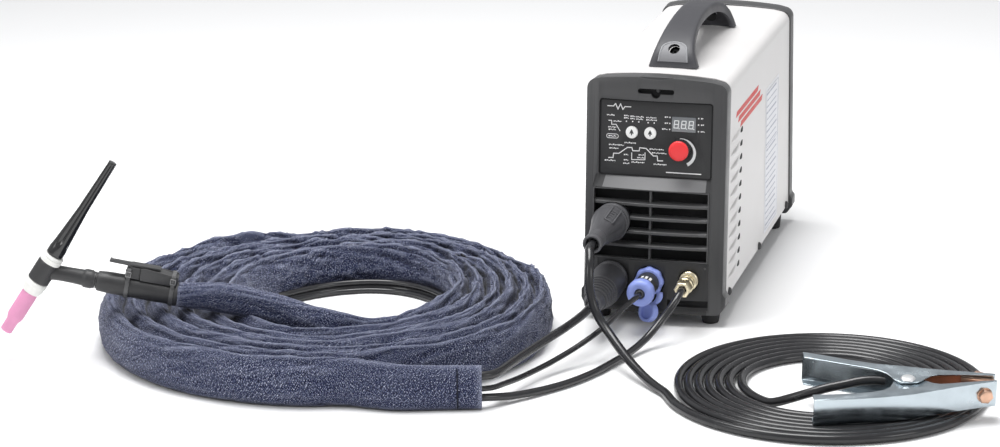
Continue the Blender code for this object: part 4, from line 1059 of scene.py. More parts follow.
def make_cover():
    """The bent sheet cover with pressed louvres, stripes and screws, and a plain label on its right side."""
    bottom, top = 29.0, 294.0
    outer = crowned_top(84.4, top, 5.0, 13.0)
    inner = crowned_top(84.4, top, 5.0, 13.0, inset=1.5)
    outline = [(84.4, bottom)] + outer + [(-84.4, bottom), (-82.9, bottom)] + inner[::-1] + [(82.9, bottom)]
    rings = []
    for y, lean in ((-217.7, FRONT_LEAN), (-90, FRONT_LEAN * 0.4), (90, -REAR_LEAN * 0.4), (217.7, -REAR_LEAN)):
        rings.append([(x, y + math.tan(lean) * (z - 28), z) for x, z in outline])
    slots, hoods, mouths = [], [], []
    for side in (1, -1):
        for row in range(11):
            z = 49.0 + row * 16.6
            y = -204 + 0.075 * (z - 49)
            slots.append(block((min(side * 60, side * 100), y + 12, z),
                               (max(side * 60, side * 100), y + 50, z + 2.6)))
            hoods.append(louvre(side, y, z))
            # A thin near-black patch at each hood's open rear end: painted shade in the opening.
            mouth = [(y + 55, z + 1.2), (y + 59, z - 0.6), (y + 66, z - 1.9), (y + 71, z - 1.6), (y + 72.5, z + 1.2),
                     (y + 72, z + 4.2), (y + 68, z + 5.2), (y + 60, z + 3.0)][::side]
            mouths.append(moved(prism(mouth, 0, 0.3), (side * 84.35, 0, 0),
                                turn=sideways(side)))
    bm = cut("cover", skin(rings), slots)
    piece("cover_sheet", bm, COVER, replaces=("steel_cover",), angle=28)
    piece("cover_louvres", join(*hoods), COVER, angle=40)
    piece("louvre_opening_shade", join(*mouths), SHADOW_BLACK, angle=40)
    bars = []
    for start, end, z in ((-164, -22, 240), (-150, -8, 231), (-136, 6, 222)):
        outline = [(start, z), (end, z), (end + 6, z + 6.4), (start + 6, z + 6.4)]
        bars.append(moved(prism(outline, 0, 0.22), (84.4, 0, 0),
                          turn=sideways(1)))
    piece("side_stripes", join(*bars), STRIPE, angle=40)
    screws = []
    for side in (1, -1):
        for y in (-197, 0, 197):
            head = lathe([(0, 3.4), (1.2, 3.35), (1.4, 1.8), (2.0, 1.8), (2.2, 3.3), (3.9, 2.7), (4.9, 1.4),
                          (5.1, 0), (0, 0)], 28)
            screws.append(moved(head, (side * 84.4, y, 32.5), axis=(side, 0, 0)))
    piece("cover_screws", join(*screws), BLACK, angle=40)
    make_label()


def louvre(side, y, z):
    """One pressed hood: it rises from the sheet towards the rear, where it is open."""
    rings = []
    for step in range(11):
        share = step / 10
        rise = 0.3 + 3.0 * math.sin(math.pi * share ** 0.75) ** 1.1
        tall = 1.6 + 6.4 * share ** 0.8
        at = y + 58 * share
        ring = []
        for inside in (False, True):
            for point in range(8, -1, -1) if inside else range(9):
                turn = math.pi * point / 8
                lift = rise * math.sin(turn) ** 0.8
                out = 83.4 + max(0.0, lift - 0.9) if inside else 84.2 + lift
                half = tall * 0.62 - (0.5 if inside else 0)
                ring.append((side * out, at, z + 1.5 - half * math.cos(turn)))
        rings.append(ring)
    return skin(rings)


def make_label():
    """A data plate with plain ruled lines and boxes, on the right side near the rear."""
    x = 84.45
    plate = moved(prism(rounded_rectangle((36, 38), (129, 228), 3), 0, 0.25),
                  turn=sideways(1))
    piece("data_plate", moved(plate, (x, 0, 0)), LABEL, angle=30)
    bars = []
    for row in range(22):
        z = 46 + row * 8.2
        start = 44 + 3 * math.sin(row * 2.3)
        end = 118 - 9 * abs(math.sin(row * 1.7))
        cuts = [start, start + (end - start) * (0.3 + 0.1 * math.sin(row)), end]
        for low, high in ((cuts[0], cuts[1] - 3), (cuts[1], cuts[2])):
            bars.append(block((x + 0.2, low, z), (x + 0.36, high, z + 1.5 + 0.8 * (row % 3 == 0))))
    for low, high in (((42, 42), (124, 224)), ((42, 150), (124, 224))):
        frame_line = rounded_rectangle(low, high, 1.5)
        for (y0, z0), (y1, z1) in zip(frame_line, frame_line[1:] + frame_line[:1]):
            bars.append(block((x + 0.2, min(y0, y1) - 0.3, min(z0, z1) - 0.3),
                              (x + 0.36, max(y0, y1) + 0.3, max(z0, z1) + 0.3)))
    piece("data_lines", join(*bars), PRINT_SOFT, angle=30)


def make_base():
    """The base pan's rolled edge and the four feet."""
    pan = cut("pan", block((-79, -212, 19), (79, 212, 40), 1.2, 2), [block((-77, -210, 21), (77, 210, 60), 0.8, 2)]
              + [block((-50 + 24 * c, -150 + 50 * r, 10), (-40 + 24 * c, -120 + 50 * r, 30), 2.0, 2)
                 for c in range(5) for r in range(6)])
    piece("pan_sheet", pan, STEEL, replaces=("base_pan",), angle=30)
    for side, x in (("left", -67.0), ("right", 67.0)):
        for end, y, top in (("front", -221.0, 12.7), ("rear", 198.0, 18.7)):
            name = "foot_%s_%s" % (end, side)
            profile = [(3.2, 5.0), (3.2, 0.6), (8.6, 0.1), (9.4, 0.4), (10.1, 1.6), (11.3, top - 4), (11.5, top - 1),
                       (11.0, top - 0.1), (0, top), (0, 5.0)]
            piece(name + "_rubber", moved(lathe(profile, 40), (x, y, 0)), RUBBER,
                  replaces=(name,), angle=40)


# WELLS holds the Y of each screw well, and the way its leg faces.
HANDLE_X = 7.0
WELLS = ((-149.6, -1), (65.6, 1))
WELL_Z = 313.2


def make_handle():
    """The carrying handle: wide moulded feet with a raised arch round the screw well, hollow underneath."""
    rings = []
    section = [(-0.97, 0.10), (-0.9, 0.02), (-0.7, 0), (-0.35, 0), (0, 0), (0.35, 0), (0.7, 0), (0.9, 0.02),
               (0.97, 0.10), (1, 0.25), (1, 0.85), (0.95, 1.0), (0.8, 1.0), (0.75, 0.62), (0.3, 0.5), (-0.3, 0.5),
               (-0.75, 0.62), (-0.8, 1.0), (-0.95, 1.0), (-1, 0.85), (-1, 0.25)]
    for step in range(57):
        turn = math.pi * (1 - step / 56)
        grip = math.sin(turn) ** 0.8
        outer, inner = handle_line(turn, 0.0), handle_line(turn, 15.0 - 1.5 * grip)
        half = 30.0 - 13.0 * grip
        ring = []
        for across, share in section:
            at = outer.lerp(inner, share)
            ring.append((HANDLE_X + across * half, at.x, at.y))
        rings.append(ring)
    wells = [moved(lathe([(0, -2), (6.4, -2), (7.0, -1), (7.0, 40), (0, 40)], 40), (HANDLE_X, y, WELL_Z),
                   axis=(0, way * 0.8, 0.6)) for y, way in WELLS]
    piece("handle_arch", cut("handle", skin(rings), wells), GREY,
          replaces=("carry_handle",), angle=38)
    ridges, pads, well_shades, screws = [], [], [], []
    for y, way in WELLS:
        middle, out = (HANDLE_X, y, WELL_Z), (0, way * 0.8, 0.6)
        crown = [(HANDLE_X + 15.0 * math.cos(math.radians(t)), 9.5 * max(0.0, math.sin(math.radians(t))))
                 for t in range(-8, 189, 8)]
        legs = [(HANDLE_X + 17.4, -16.5), (HANDLE_X + 16.4, -8)] + crown[1:-1] + [(HANDLE_X - 16.4, -8),
                                                                                  (HANDLE_X - 17.4, -16.5)]
        route = smooth_route([(x, up, 0) for x, up in legs], 1.5)
        ridges.append(pipe([on_handle(p.x, p.y, way) for p in route], 1.3, 8))
        rows = []
        for step in range(15):
            up = -16.5 + 25.6 * step / 14
            half = 16.2 if up < -4 else 15.2 * math.sqrt(max(0.02, 1 - (max(0.0, up) / 9.6) ** 2))
            rows.append([on_handle(HANDLE_X + half * (-1 + 2 * k / 10), up, way) + Vector((0, way * 0.45, 0.3))
                         for k in range(11)])
        pad = sheet_of(rows, Vector((0, way * -1.2, -0.9)))
        pads.append(cut("pad", pad, [rod(7.0, -8, 40, 40, middle, out)]))
        # A near-black cup lining each screw well: painted shade in the well.
        well_shades.append(moved(lathe([(0, -2.6), (6.9, -2.6), (6.9, 2.5), (6.3, 2.5), (6.3, -1.9), (0, -1.9)], 40),
                          middle, axis=out))
        head = lathe([(0, 1.0), (1.9, 1.0), (1.9, 3.4), (3.6, 3.4), (4.5, 2.6), (4.6, 0), (0, 0)], 32)
        screws.append(moved(head, (HANDLE_X, y - way * 1.4, 312.1), axis=out))
    piece("handle_ridges", join(*ridges), GREY_LIGHT, angle=60)
    piece("handle_pads", join(*pads), GREY_PAD, angle=40)
    piece("handle_well_shade", join(*well_shades), SHADOW_BLACK, angle=40)
    piece("handle_screws", join(*screws), BLACK, angle=40)


def handle_line(turn, depth):
    """A point of the handle's arch in its middle plane, a depth inside its outer line."""
    return Vector((-42.0 + (126.0 - depth) * math.cos(turn),
                   298.9 + (48.5 - depth) * max(0.0, math.sin(turn)) ** (0.85 if depth == 0 else 0.8)))


def on_handle(x, up, way):
    """A point on the outer surface of a handle leg; up runs along the leg from the middle of its screw well."""
    best = None
    for step in range(200):
        turn = math.pi * (0.5 + 0.5 * step / 199) if way < 0 else math.pi * 0.5 * step / 199
        line = handle_line(turn, 0.0)
        at = Vector((0, line.x, line.y))
        tangent = Vector((0, -way * 0.6, 0.8))
        off = abs((at - Vector((0, WELLS[way > 0][0], WELL_Z))).dot(tangent) - up)
        if best is None or off < best[0]:
            best = (off, at)
    return Vector((x, best[1].y, best[1].z))


def sheet_of(rows, back):
    """A thin closed patch over rows of points, given thickness by the vector towards its back."""
    bm = bmesh.new()
    front = [[bm.verts.new(at) for at in row] for row in rows]
    rear = [[bm.verts.new(Vector(at) + back) for at in row] for row in rows]
    last, side = len(rows) - 1, len(rows[0]) - 1
    for r in range(last):
        for c in range(side):
            bm.faces.new((front[r][c], front[r][c + 1], front[r + 1][c + 1], front[r + 1][c]))
            bm.faces.new((rear[r][c], rear[r + 1][c], rear[r + 1][c + 1], rear[r][c + 1]))
        for c in (0, side):
            bm.faces.new((front[r][c], front[r + 1][c], rear[r + 1][c], rear[r][c]))
    for r in (0, last):
        for c in range(side):
            bm.faces.new((front[r][c], front[r][c + 1], rear[r][c + 1], rear[r][c]))
    bmesh.ops.recalc_face_normals(bm, faces=bm.faces)
    return bm


# ---------------------------------------------------------------- the machine's rear

FAN_Z = 178
GLAND_AT = (0, -14, 40)
INLET_AT = (48, -14, 40)
SWITCH_WELL = ((-57, -24, 68), (-37, 5, 94))


def make_rear():
    """The rear bezel, panel, fan, power switch, cable gland and gas inlet."""
    rim = [(x * 1.014, z * 1.005 + 0.3) for x, z in shell_outline()]
    bezel = cut("rear_bezel", upright(rim, -22, 0), [upright(arch_outline(6.0, 8.0, 2.0), -60, 60)])
    piece("rear_moulding", bezel, BEZEL, REAR, replaces=("rear_bezel",), angle=28, bevel=1.2,
          segments=3)
    tools = [rod(56, -20, 20, 72, (0, -15, FAN_Z), BEHIND), block((-62.3, -40, 62.7), (-31.7, 10, 99.3))]
    for x, radius in ((0, 10.3), (48, 7.3)):
        tools.append(rod(radius, -20, 20, 32, (x, -15, 40), BEHIND))
    for column in range(6):
        tools.append(upright(rounded_rectangle((-20 + 12 * column, 66), (-14 + 12 * column, 96), 2.9), -40, 10))
    panel = cut("rear_sheet", upright(arch_outline(6.5, 8.0, 2.5), -16, -14), tools)
    piece("rear_sheet", panel, STEEL, REAR, replaces=("rear_panel",), angle=30)
    screws = []
    for half, z in ((52.5, 230.5), (52.5, 125.5), (70, 12), (70, 240)):
        for x in (-half, half):
            head = lathe([(0, 2.2), (1.1, 2.2), (1.3, 1.0), (1.8, 1.0), (2.0, 2.1), (3.2, 1.7), (4.0, 0), (0, 0)], 24)
            screws.append(moved(head, (x, -14, z), axis=BEHIND))
    piece("rear_screws", join(*screws), ZINC, REAR, angle=40)
    make_fan()
    flange = cut("switch", block((-66, -13.7, 59), (-28, -9, 103), 1.2, 2), [block(*SWITCH_WELL, 0.6, 2)])
    body = join(flange, cut("switch_box", block((-62, -45, 63), (-32, -13, 99)), [block(*SWITCH_WELL)]))
    piece("switch_housing", body, BLACK, REAR, replaces=("power_switch_body",), angle=30)
    hollow = [(12.2 - 24.2 * s / 16, 1.8 + 2.4 * s / 16 - 3.4 * math.sin(math.pi * s / 16)) for s in range(1, 16)]
    rocker = prism([(-11.6, -5), (11.6, -5), (12.2, 1.8)] + hollow + [(-12, 4.2)], -9.5, 9.5)
    turn = Matrix.Rotation(math.pi / 2, 4, "Y")
    piece("switch_rocker", moved(rocker, (-47, -14, 81), turn=turn), RED, REAR, body="rocker",
          replaces=("power_rocker",), angle=30, bevel=0.5)

    def ribs(angle, height):
        return 1 + (0.022 * math.cos(16 * angle) if 14.5 < height < 23 else 0)
    nut = lathe([(5.5, 26), (6.2, 26.6), (13.2, 26.2), (14.6, 24.5), (16, 22), (16, 14.6), (15, 14.4), (15, 14.2),
                 (10, 14.2), (10, -14), (5.5, -14)], 64, ribs)
    hexagon = lathe([(10.0, 14.1), (17.4, 14.1), (18, 13.4), (18, 1.2), (17.4, 0.3), (10.0, 0.3)], 6)
    gland = join(moved(nut, GLAND_AT, axis=BEHIND), moved(hexagon, GLAND_AT, axis=BEHIND))
    piece("cable_gland", gland, BLACK, REAR, replaces=("mains_gland",), angle=30)
    tip = 27.108
    barbs = [(3, tip), (4.5, tip), (5.5, tip - 4), (4.5, tip - 5), (4.5, 18), (5.5, 17), (4.5, 16.5), (4.5, 12.2),
             (9.6, 12), (11, 11), (11, 1.2), (10.4, 0.3), (7, 0.3), (7, -14), (3, -14)]
    piece("inlet_nipple", moved(lathe(barbs, 48), INLET_AT, axis=BEHIND), BRASS, REAR,
          replaces=("gas_inlet",), angle=30)


def make_fan():
    """The fan's frame with its finger guard, and the bladed rotor."""
    holes = [rod(2.2, -60, 60, 16, (x, -35, z), BEHIND) for x in (-52.5, 52.5) for z in (125.5, 230.5)]
    frame_body = cut("fan", upright(rounded_rectangle((-60, 118), (60, 238), 5.0), -54, -16.3),
                     [rod(55, -40, 40, 72, (0, -35, FAN_Z), BEHIND), *holes])
    guard = [moved(ring_bar(radius, 1.2), (0, -20, FAN_Z), axis=BEHIND) for radius in (16.0, 30.0, 43.0, 54.5)]
    for step in range(6):
        bar = block((-55.5, -1.2, -1.2), (55.5, 1.2, 1.2), 0.5, 1)
        guard.append(moved(bar, (0, -20.5, FAN_Z), turn=Matrix.Rotation(math.radians(30 * step), 4, "Y")))
    guard.append(moved(lathe([(0, 1.6), (15.0, 1.6), (16.0, 0.6), (16.0, -2.4), (0, -2.4)], 48), (0, -20, FAN_Z),
                       axis=BEHIND))
    piece("fan_housing", join(frame_body, *guard), BLACK, REAR, replaces=("fan_frame",), angle=30)
    hub = moved(lathe([(0, 11.6), (16.5, 11.6), (18.4, 10.8), (19, 9.0), (19, -12), (0, -12)], 64), (0, -38, FAN_Z),
                axis=BEHIND)
    blades = [skin([blade_section(blade, step / 8) for step in range(9)]) for blade in range(7)]
    piece("fan_wheel", join(hub, *blades), BLACK, REAR, body="rotor", replaces=("fan_rotor",),
          angle=35)


def blade_section(blade, share):
    """The curved section of one fan blade, at a share of its length."""
    radius = 17.5 + 33.0 * share
    pitch = 0.75 - 0.35 * share
    half = 9.5 + 4.5 * share
    ring = []
    for point in [*range(-6, 7), *range(6, -7, -1)]:
        chord = point / 6 * half
        face = 0.9 if len(ring) < 13 else -0.9 + 1.1 * abs(point / 6) ** 3
        height = 1.8 * (1 - (point / 6) ** 2) + face
        across = chord * math.cos(pitch) - height * math.sin(pitch)
        deep = chord * math.sin(pitch) + height * math.cos(pitch)
        swirl = math.tau * blade / 7 + share * 0.18 + across / radius
        ring.append((radius * math.sin(swirl), -38 + deep * 0.75, FAN_Z + radius * math.cos(swirl)))
    return ring


def ring_bar(radius, half):
    """A ring of round bar about Z."""
    return lathe([(radius + half * math.cos(math.tau * s / 12), half * math.sin(math.tau * s / 12)) for s in range(12)],
                 96)


# ---------------------------------------------------------------- inside the machine

def make_internals():
    """Boards with their parts, the heat sink, the transformer as stacked layers, and the gas valve."""
    board = block((-60, -210, 175), (60, -208, 262), 0.2, 1)
    piece("control_pcb", board, BOARD, replaces=("control_board",), angle=30)
    parts = []
    for index in range(18):
        x = -52 + (index * 37) % 104
        z = 182 + (index * 23) % 72
        parts.append(block((x, -207.9, z), (x + 6 + index % 4, -205.0 + index % 3, z + 4 + index % 3), 0.3, 1))
    piece("control_parts", join(*parts), BLACK, angle=30)
    board = cut("main", block((-70, -150, 150), (70, 130, 152)), [block((-75, -20, 140), (-40, 20, 160))])
    piece("main_pcb", board, BOARD, replaces=("main_board",), angle=30)
    cans = []
    for x, y in ((-48, -118), (-16, -118), (16, -118), (48, -118), (-30, 60), (0, 60), (30, 60)):
        can = lathe([(0, 42), (5, 42), (12.6, 42.3), (13.8, 41.5), (14, 40), (14, 3.6), (13.2, 3), (14, 2.4), (14, 0),
                     (0, 0)], 40)
        cans.append(moved(can, (x, y, 152.1)))
    piece("capacitors", join(*cans), CAP, angle=35)
    fins = [block((-52.0 + fin * 15, -140, 70), (-43.0 + fin * 15, 100, 132)) for fin in range(7)]
    piece("cooling_sink", cut("sink", block((-60, -130, 85), (60, 90, 140), 0.6, 1), fins), ALLOY,
          replaces=("heat_sink",), angle=30)
    layers = []
    for index in range(14):
        y = -58 + index * 6.0
        layers.append(block((-45, y, 21.3), (45, y + 5.4, 80), 0.5, 1))
    layers.append(block((-41, -59, 24), (41, 29, 77.5), 3.0, 3))
    piece("transformer_core", join(*layers), COPPER, replaces=("transformer",), angle=30)
    valve = join(block((30, 100, 21.3), (66, 150, 46), 2.0, 2), block((34, 104, 44), (62, 146, 66.3), 5.0, 4))
    piece("valve_body", valve, BRASS, replaces=("gas_valve",), angle=30)


# ---------------------------------------------------------------- sockets and plugs

def placed_on(x, y, z, axis):
    """A frame at a point in millimetres, whose +Z looks along an axis."""
    return Matrix.Translation(Vector((x, y, z)) * MM) @ Z.rotation_difference(Vector(axis)).to_matrix().to_4x4()


def make_sockets():
    """The four fixed outlets of the front."""
    for name, seat in (("earth_socket", EARTH_SEAT), ("torch_socket", TORCH_SEAT)):
        profile = [(0, 8.3), (18.4, 8.3), (19, 8.0), (19.4, 7.0), (20.4, 6.6), (20.9, 5.8), (21, 0.3), (17, 0.3),
                   (17, -22), (0, -22)]
        piece(name + "_ring", lathe(profile, 72), PLUG, placed_on(*seat, AHEAD),
              replaces=(name,), angle=40)

    def lobes(turn, height):
        return 1 + (0.035 * math.cos(8 * turn) - 0.02 if 0.2 < height < 11 else 0)
    profile = [(0, 12), (13.8, 12), (15.6, 11.8), (16.6, 10.9), (17.6, 9.4), (17.7, 8.6), (17.7, 1.4), (17.2, 0.3),
               (14, 0.3), (14, -18), (0, -18)]
    piece("control_ring", lathe(profile, 128, lobes), BLUE, placed_on(*CONTROL_SEAT, AHEAD),
          replaces=("control_socket",), angle=45)
    profile = [(0, 12), (8, 12), (8, 7.9), (9.6, 7.7), (10.9, 7.0), (11.2, 6.2), (10.6, 5.6), (11.2, 5.0),
               (10.6, 4.4), (11.2, 3.8), (10.6, 3.2), (11.2, 2.6), (11.3, 0.3), (8, 0.3), (8, -20), (0, -20)]
    piece("outlet_body", lathe(profile, 72), BRASS, placed_on(*GAS_SEAT, AHEAD),
          replaces=("gas_outlet",), angle=40)


def make_earth_plug():
    """The earth plug with its latch, ribbed tail and lip."""
    place = placed_on(-50, -244.6, 125, AHEAD)

    def grips(turn, height):
        return 1 - (0.035 * max(0.0, math.cos(11 * turn)) ** 0.5 if 22 < height < 57 else 0)
    profile = [(0, 0.1), (20, 0.1), (21.4, 0.8), (21.5, 2.2), (20.6, 2.8), (20.6, 5.4), (21.4, 6), (21.5, 11),
               (22.3, 11.4), (22.3, 12.6), (21.3, 13.2), (21.2, 17.5), (20.4, 21), (19.2, 27), (17.9, 34),
               (15.9, 45), (13.7, 58), (12.2, 68), (11.5, 72), (11.3, 74)]
    for ridge in range(5):
        low = 75 + ridge * 3.6
        profile += [(10.7, low), (11.3, low + 0.8), (11.2, low + 2.2), (10.7, low + 3.0)]
    profile += [(10.9, 94), (11.6, 95.5), (11.7, 98.4), (11.0, 100.4), (9.6, 100.9), (8.0, 100.2), (7.4, 97),
                (7.0, 88), (0, 88)]
    piece("earth_plug_body", lathe(profile, 120, grips), PLUG, place, replaces=("earth_plug",),
          angle=42)
    latch = []
    for way in (-1, 1):
        arm = [(way * 5.4, radius + 0.1, height)
               for height, radius in ((9, 21.4), (20, 20.9), (30, 18.4), (40, 16.5), (46, 15.5))]
        latch.append(pipe(arm, 0.9, 8))
    for height, radius in ((22, 20.3), (27, 19.1), (32, 17.9), (37, 17.0)):
        latch.append(pipe([(-3.2, radius, height), (0, radius + 0.35, height), (3.2, radius, height)], 0.7, 8))
    latch.append(pipe([(-5.4, 15.6, 46), (0, 16.1, 46.6), (5.4, 15.6, 46)], 0.9, 8))
    tab = moved(join(*latch), turn=Matrix.Rotation(math.radians(-28), 4, "Z"))
    piece("earth_plug_latch", tab, PLUG, place, angle=50)


def make_torch_plug():
    """The torch plug with its ringed taper."""
    place = placed_on(-51, -251.3, 54, (0, -1, -0.05))
    profile = [(0, 0), (20.6, 0), (21.9, 1.2), (22, 3.4), (21.3, 3.9), (21.3, 4.6), (21.9, 5.2), (21.6, 34),
               (20.9, 37.4), (20.6, 42)]
    radius = 20.2
    for ridge in range(6):
        low = 44 + ridge * 5.4
        radius -= 1.15
        profile += [(radius + 1.1, low - 0.8), (radius + 1.5, low), (radius + 1.2, low + 1.6),
                    (radius - 1.2, low + 2.2), (radius - 1.4, low + 3.6)]
    profile += [(12.6, 77), (10.6, 83), (10.2, 86), (9.4, 87.8), (7.8, 87.9), (7.0, 86), (6.6, 78), (0, 78)]
    piece("torch_plug_body", lathe(profile, 96), PLUG, place, replaces=("torch_plug",), angle=42)


def make_control_plug():
    """The control plug: barrel, castellated nut, boot and marks, with its dust cap hanging on a tether."""
    place = placed_on(-3, -253.8, 54, AHEAD)
    barrel = lathe([(0, 0), (13.2, 0), (13.5, 0.6), (13.5, 32), (12.9, 33.2), (0, 33.2)], 72)
    piece("control_barrel", barrel, BLACK, place, angle=40)

    def castle(turn, height):
        return 1 + (0.012 * math.cos(12 * turn) if 35 < height < 44 else 0)
    nut = lathe([(6.5, 40), (6.5, 47.2), (7.4, 48), (12.2, 48), (14.6, 47.0), (16.0, 44.8), (16.3, 42.8),
                 (16.3, 35.4), (15.6, 34), (12.5, 33.5), (12.5, 40)], 96, castle)
    piece("control_nut", nut, BLUE, place, replaces=("control_plug",), angle=42)
    boot = lathe([(0, 39.0), (6.6, 39.0), (6.4, 44.2), (4.9, 46.6), (4.0, 47.6), (0, 47.6)], 40)
    piece("control_boot", boot, PLUG, place, angle=42)
    bars = []
    for turn, length in ((100, 6.5), (78, 9.0), (56, 9.0)):
        mark = block((13.2, -1.6, 17), (13.75, 1.6, 17 + length), 0.1, 1)
        bars.append(moved(mark, turn=Matrix.Rotation(math.radians(turn), 4, "Z")))
    piece("control_marks", join(*bars), PRINT, place, angle=40)
    cap_place = placed_on(2.0, -262.0, 20.5, (-0.45, -0.8, 0.25))
    cap = lathe([(0, 5.2), (7.0, 5.2), (8.0, 5.6), (8.6, 8.2), (9.4, 9), (11.2, 9), (12.2, 8.3), (12.5, 7.3),
                 (12.5, 1.4), (12.0, 0.1), (0, 0)], 64)
    piece("dust_cover", cap, BLUE, cap_place, replaces=("dust_cap",), angle=42)
    tether = smooth_route([(10.4, -250.5, 42.2), (11.6, -255.5, 38), (9.6, -259.5, 33.5), (5.6, -262.4, 31.0)], 1.5)
    half = Vector((3.2, 0, 0))
    rings = []
    for point, (_, _, rise) in zip(tether, frames_along(tether)):
        thick = rise * 0.8
        rings.append([point - half + thick, point + half + thick, point + half - thick, point - half - thick])
    piece("dust_cover_tether", skin(rings), BLUE, angle=50)


def make_coupler():
    """The hose coupler on the gas outlet."""
    place = placed_on(44.5, -253.8, 57, AHEAD)
    hexagon = lathe([(9.0, 13.2), (10.15, 13.8), (10.2, 15), (10.2, 28.4), (9.4, 30), (5.4, 30), (5.0, 26),
                     (5.0, 13.2)], 6)
    collar = lathe([(0, 0.2), (9.0, 0.2), (9.0, 2), (8.2, 2.4), (8.2, 3.4), (9.0, 3.8), (9.0, 8.4), (9.8, 9.0),
                    (10.1, 10.0), (10.1, 12.6), (9.2, 13.6), (0, 13.6)], 72)
    piece("coupler_nut", join(hexagon, collar), BRASS, place, replaces=("gas_coupler",), angle=35,
          bevel=0.25)


# ---------------------------------------------------------------- torch

def make_torch_body():
    """The torch's handle, and its neck and head in one moulding with a raised oval ring."""
    along = Vector((1, 0, 0))
    handle = lathe([(0, 96.4), (9.4, 96.4), (9.6, 95.0), (11.4, 94.2), (11.8, 92.5), (12.2, 88), (12.7, 80),
                    (12.9, 62), (13.2, 34), (13.25, 9.4), (13.5, 8.8), (13.9, 8.2), (14.0, 1.6), (13.6, 0.7),
                    (0, 0.6)], 72, lambda a, h: 1 - 0.03 * abs(math.cos(2 * a)) ** 8 * (20 < h < 90))
    piece("torch_grip", moved(handle, axis=along), TORCH, HANDLE, replaces=("torch_handle",),
          angle=40)
    inside = CUP_TIP + PLANE @ TO_HEAD * 86.0
    forward = (HANDLE.to_3x3() @ along).normalized()
    end = TORCH_END + forward * 97.2
    middle = inside.lerp(end, 0.30) + Vector((0, 0, 1.0))
    route = smooth_route([inside, middle, inside.lerp(end, 0.65) + Vector((0, 0, 0.8)), end], 2.0)
    sizes = []
    for index in range(len(route)):
        share = index / (len(route) - 1)
        size = 9.4 - 0.8 * math.sin(math.pi * min(1, share / 0.9)) + 0.6 * share
        if share > 0.955:    # inside the handle
            size = 9.9
        elif share > 0.80:    # the collar before it
            size = 11.0
        elif share > 0.77:
            size = 9.6 + 1.4 * (share - 0.77) / 0.03
        sizes.append(size)
    neck = pipe(route, sizes, 40)
    head = lathe([(0, 73.0), (12.4, 73.0), (12.95, 73.8), (13.0, 75.5), (13.0, 96.9), (12.9, 98.6), (12.4, 99.3),
                  (0, 99.3)], 72)
    in_world = Matrix.Translation(HEAD.translation / MM) @ HEAD.to_3x3().to_4x4()
    bmesh.ops.transform(head, matrix=in_world, verts=head.verts)
    side = forward.cross(Z).normalized()
    if side.y > 0:
        side = -side
    rise = side.cross(forward).normalized()
    if rise.z < 0:
        rise = -rise
    loop = []
    for step in range(33):
        turn = math.tau * step / 32
        flat = forward * (-11.0 * math.cos(turn)) + rise * (3.6 * math.sin(turn))
        loop.append(middle + flat + side * math.sqrt(max(0, 8.2 ** 2 - (3.6 * math.sin(turn)) ** 2)))
    body = join(cut("torch_body", head, [("UNION", neck)]), pipe(loop, 0.45, 6, caps=False))
    piece("torch_neck_head", body, TORCH, replaces=("torch_head",), angle=42)


def make_torch_head():
    """Both insulators, the cup, the tungsten and the fluted back cap."""
    white = lathe([(5.0, 72.6), (12.7, 72.6), (13.1, 72.0), (13.2, 66.8), (12.6, 66.2), (12.4, 62.0), (12.1, 60.5),
                   (11.2, 56.9), (5.0, 56.8)], 72)
    piece("lower_insulator", white, WHITE, HEAD, replaces=("cup_gasket",), angle=40)
    ring = lathe([(5.0, 99.7), (12.5, 99.7), (12.9, 100.2), (12.9, 105.4), (12.2, 105.9), (12.2, 106.4), (12.8, 106.9),
                  (12.8, 108.5), (11.9, 109.7), (5.0, 109.8)], 72)
    piece("upper_insulator", ring, WHITE, HEAD, replaces=("cap_gasket",), angle=40)
    cup = lathe([(6.0, 56.5), (8.6, 56.5), (9.6, 55.8), (9.8, 54), (9.9, 24), (9.7, 21.5), (9.0, 18.8), (7.8, 16.0),
                 (7.3, 14), (7.2, 1.0), (6.8, 0.1), (5.5, 0.0), (5.2, 0.8), (5.2, 50)], 72)
    piece("cup_ceramic", cup, PINK, HEAD, body="cup", replaces=("ceramic_cup",), angle=40)
    rod = lathe([(0, -1.5), (0.5, 0.0), (1.2, 3.4), (1.2, 60), (0, 60)], 24)
    piece("tungsten", rod, CHROME, HEAD, body="machine", angle=50)

    def flutes(turn, height):
        if height < 122 or height > 239:
            return 1
        fade = min(1.0, (height - 122) / 10)
        return 1 - fade * 0.26 * max(0.0, math.cos(4 * turn + 0.9)) ** 1.5
    profile = [(0, 110.2), (9.9, 110.2), (10.35, 110.8), (10.4, 112.5), (10.3, 118), (9.9, 122)]
    for step in range(1, 60):
        height = 122 + 117 * step / 60
        profile.append((9.9 - 3.7 * min(1, (height - 122) / 53) ** 0.9 - 1.3 * max(0, (height - 175) / 65), height))
    profile += [(4.9, 239.6), (4.9, 241.2), (4.6, 241.5), (0, 241.5)]
    piece("cap_fluted", lathe(profile, 96, flutes), CAP, HEAD, body="cap", replaces=("back_cap",),
          angle=50)


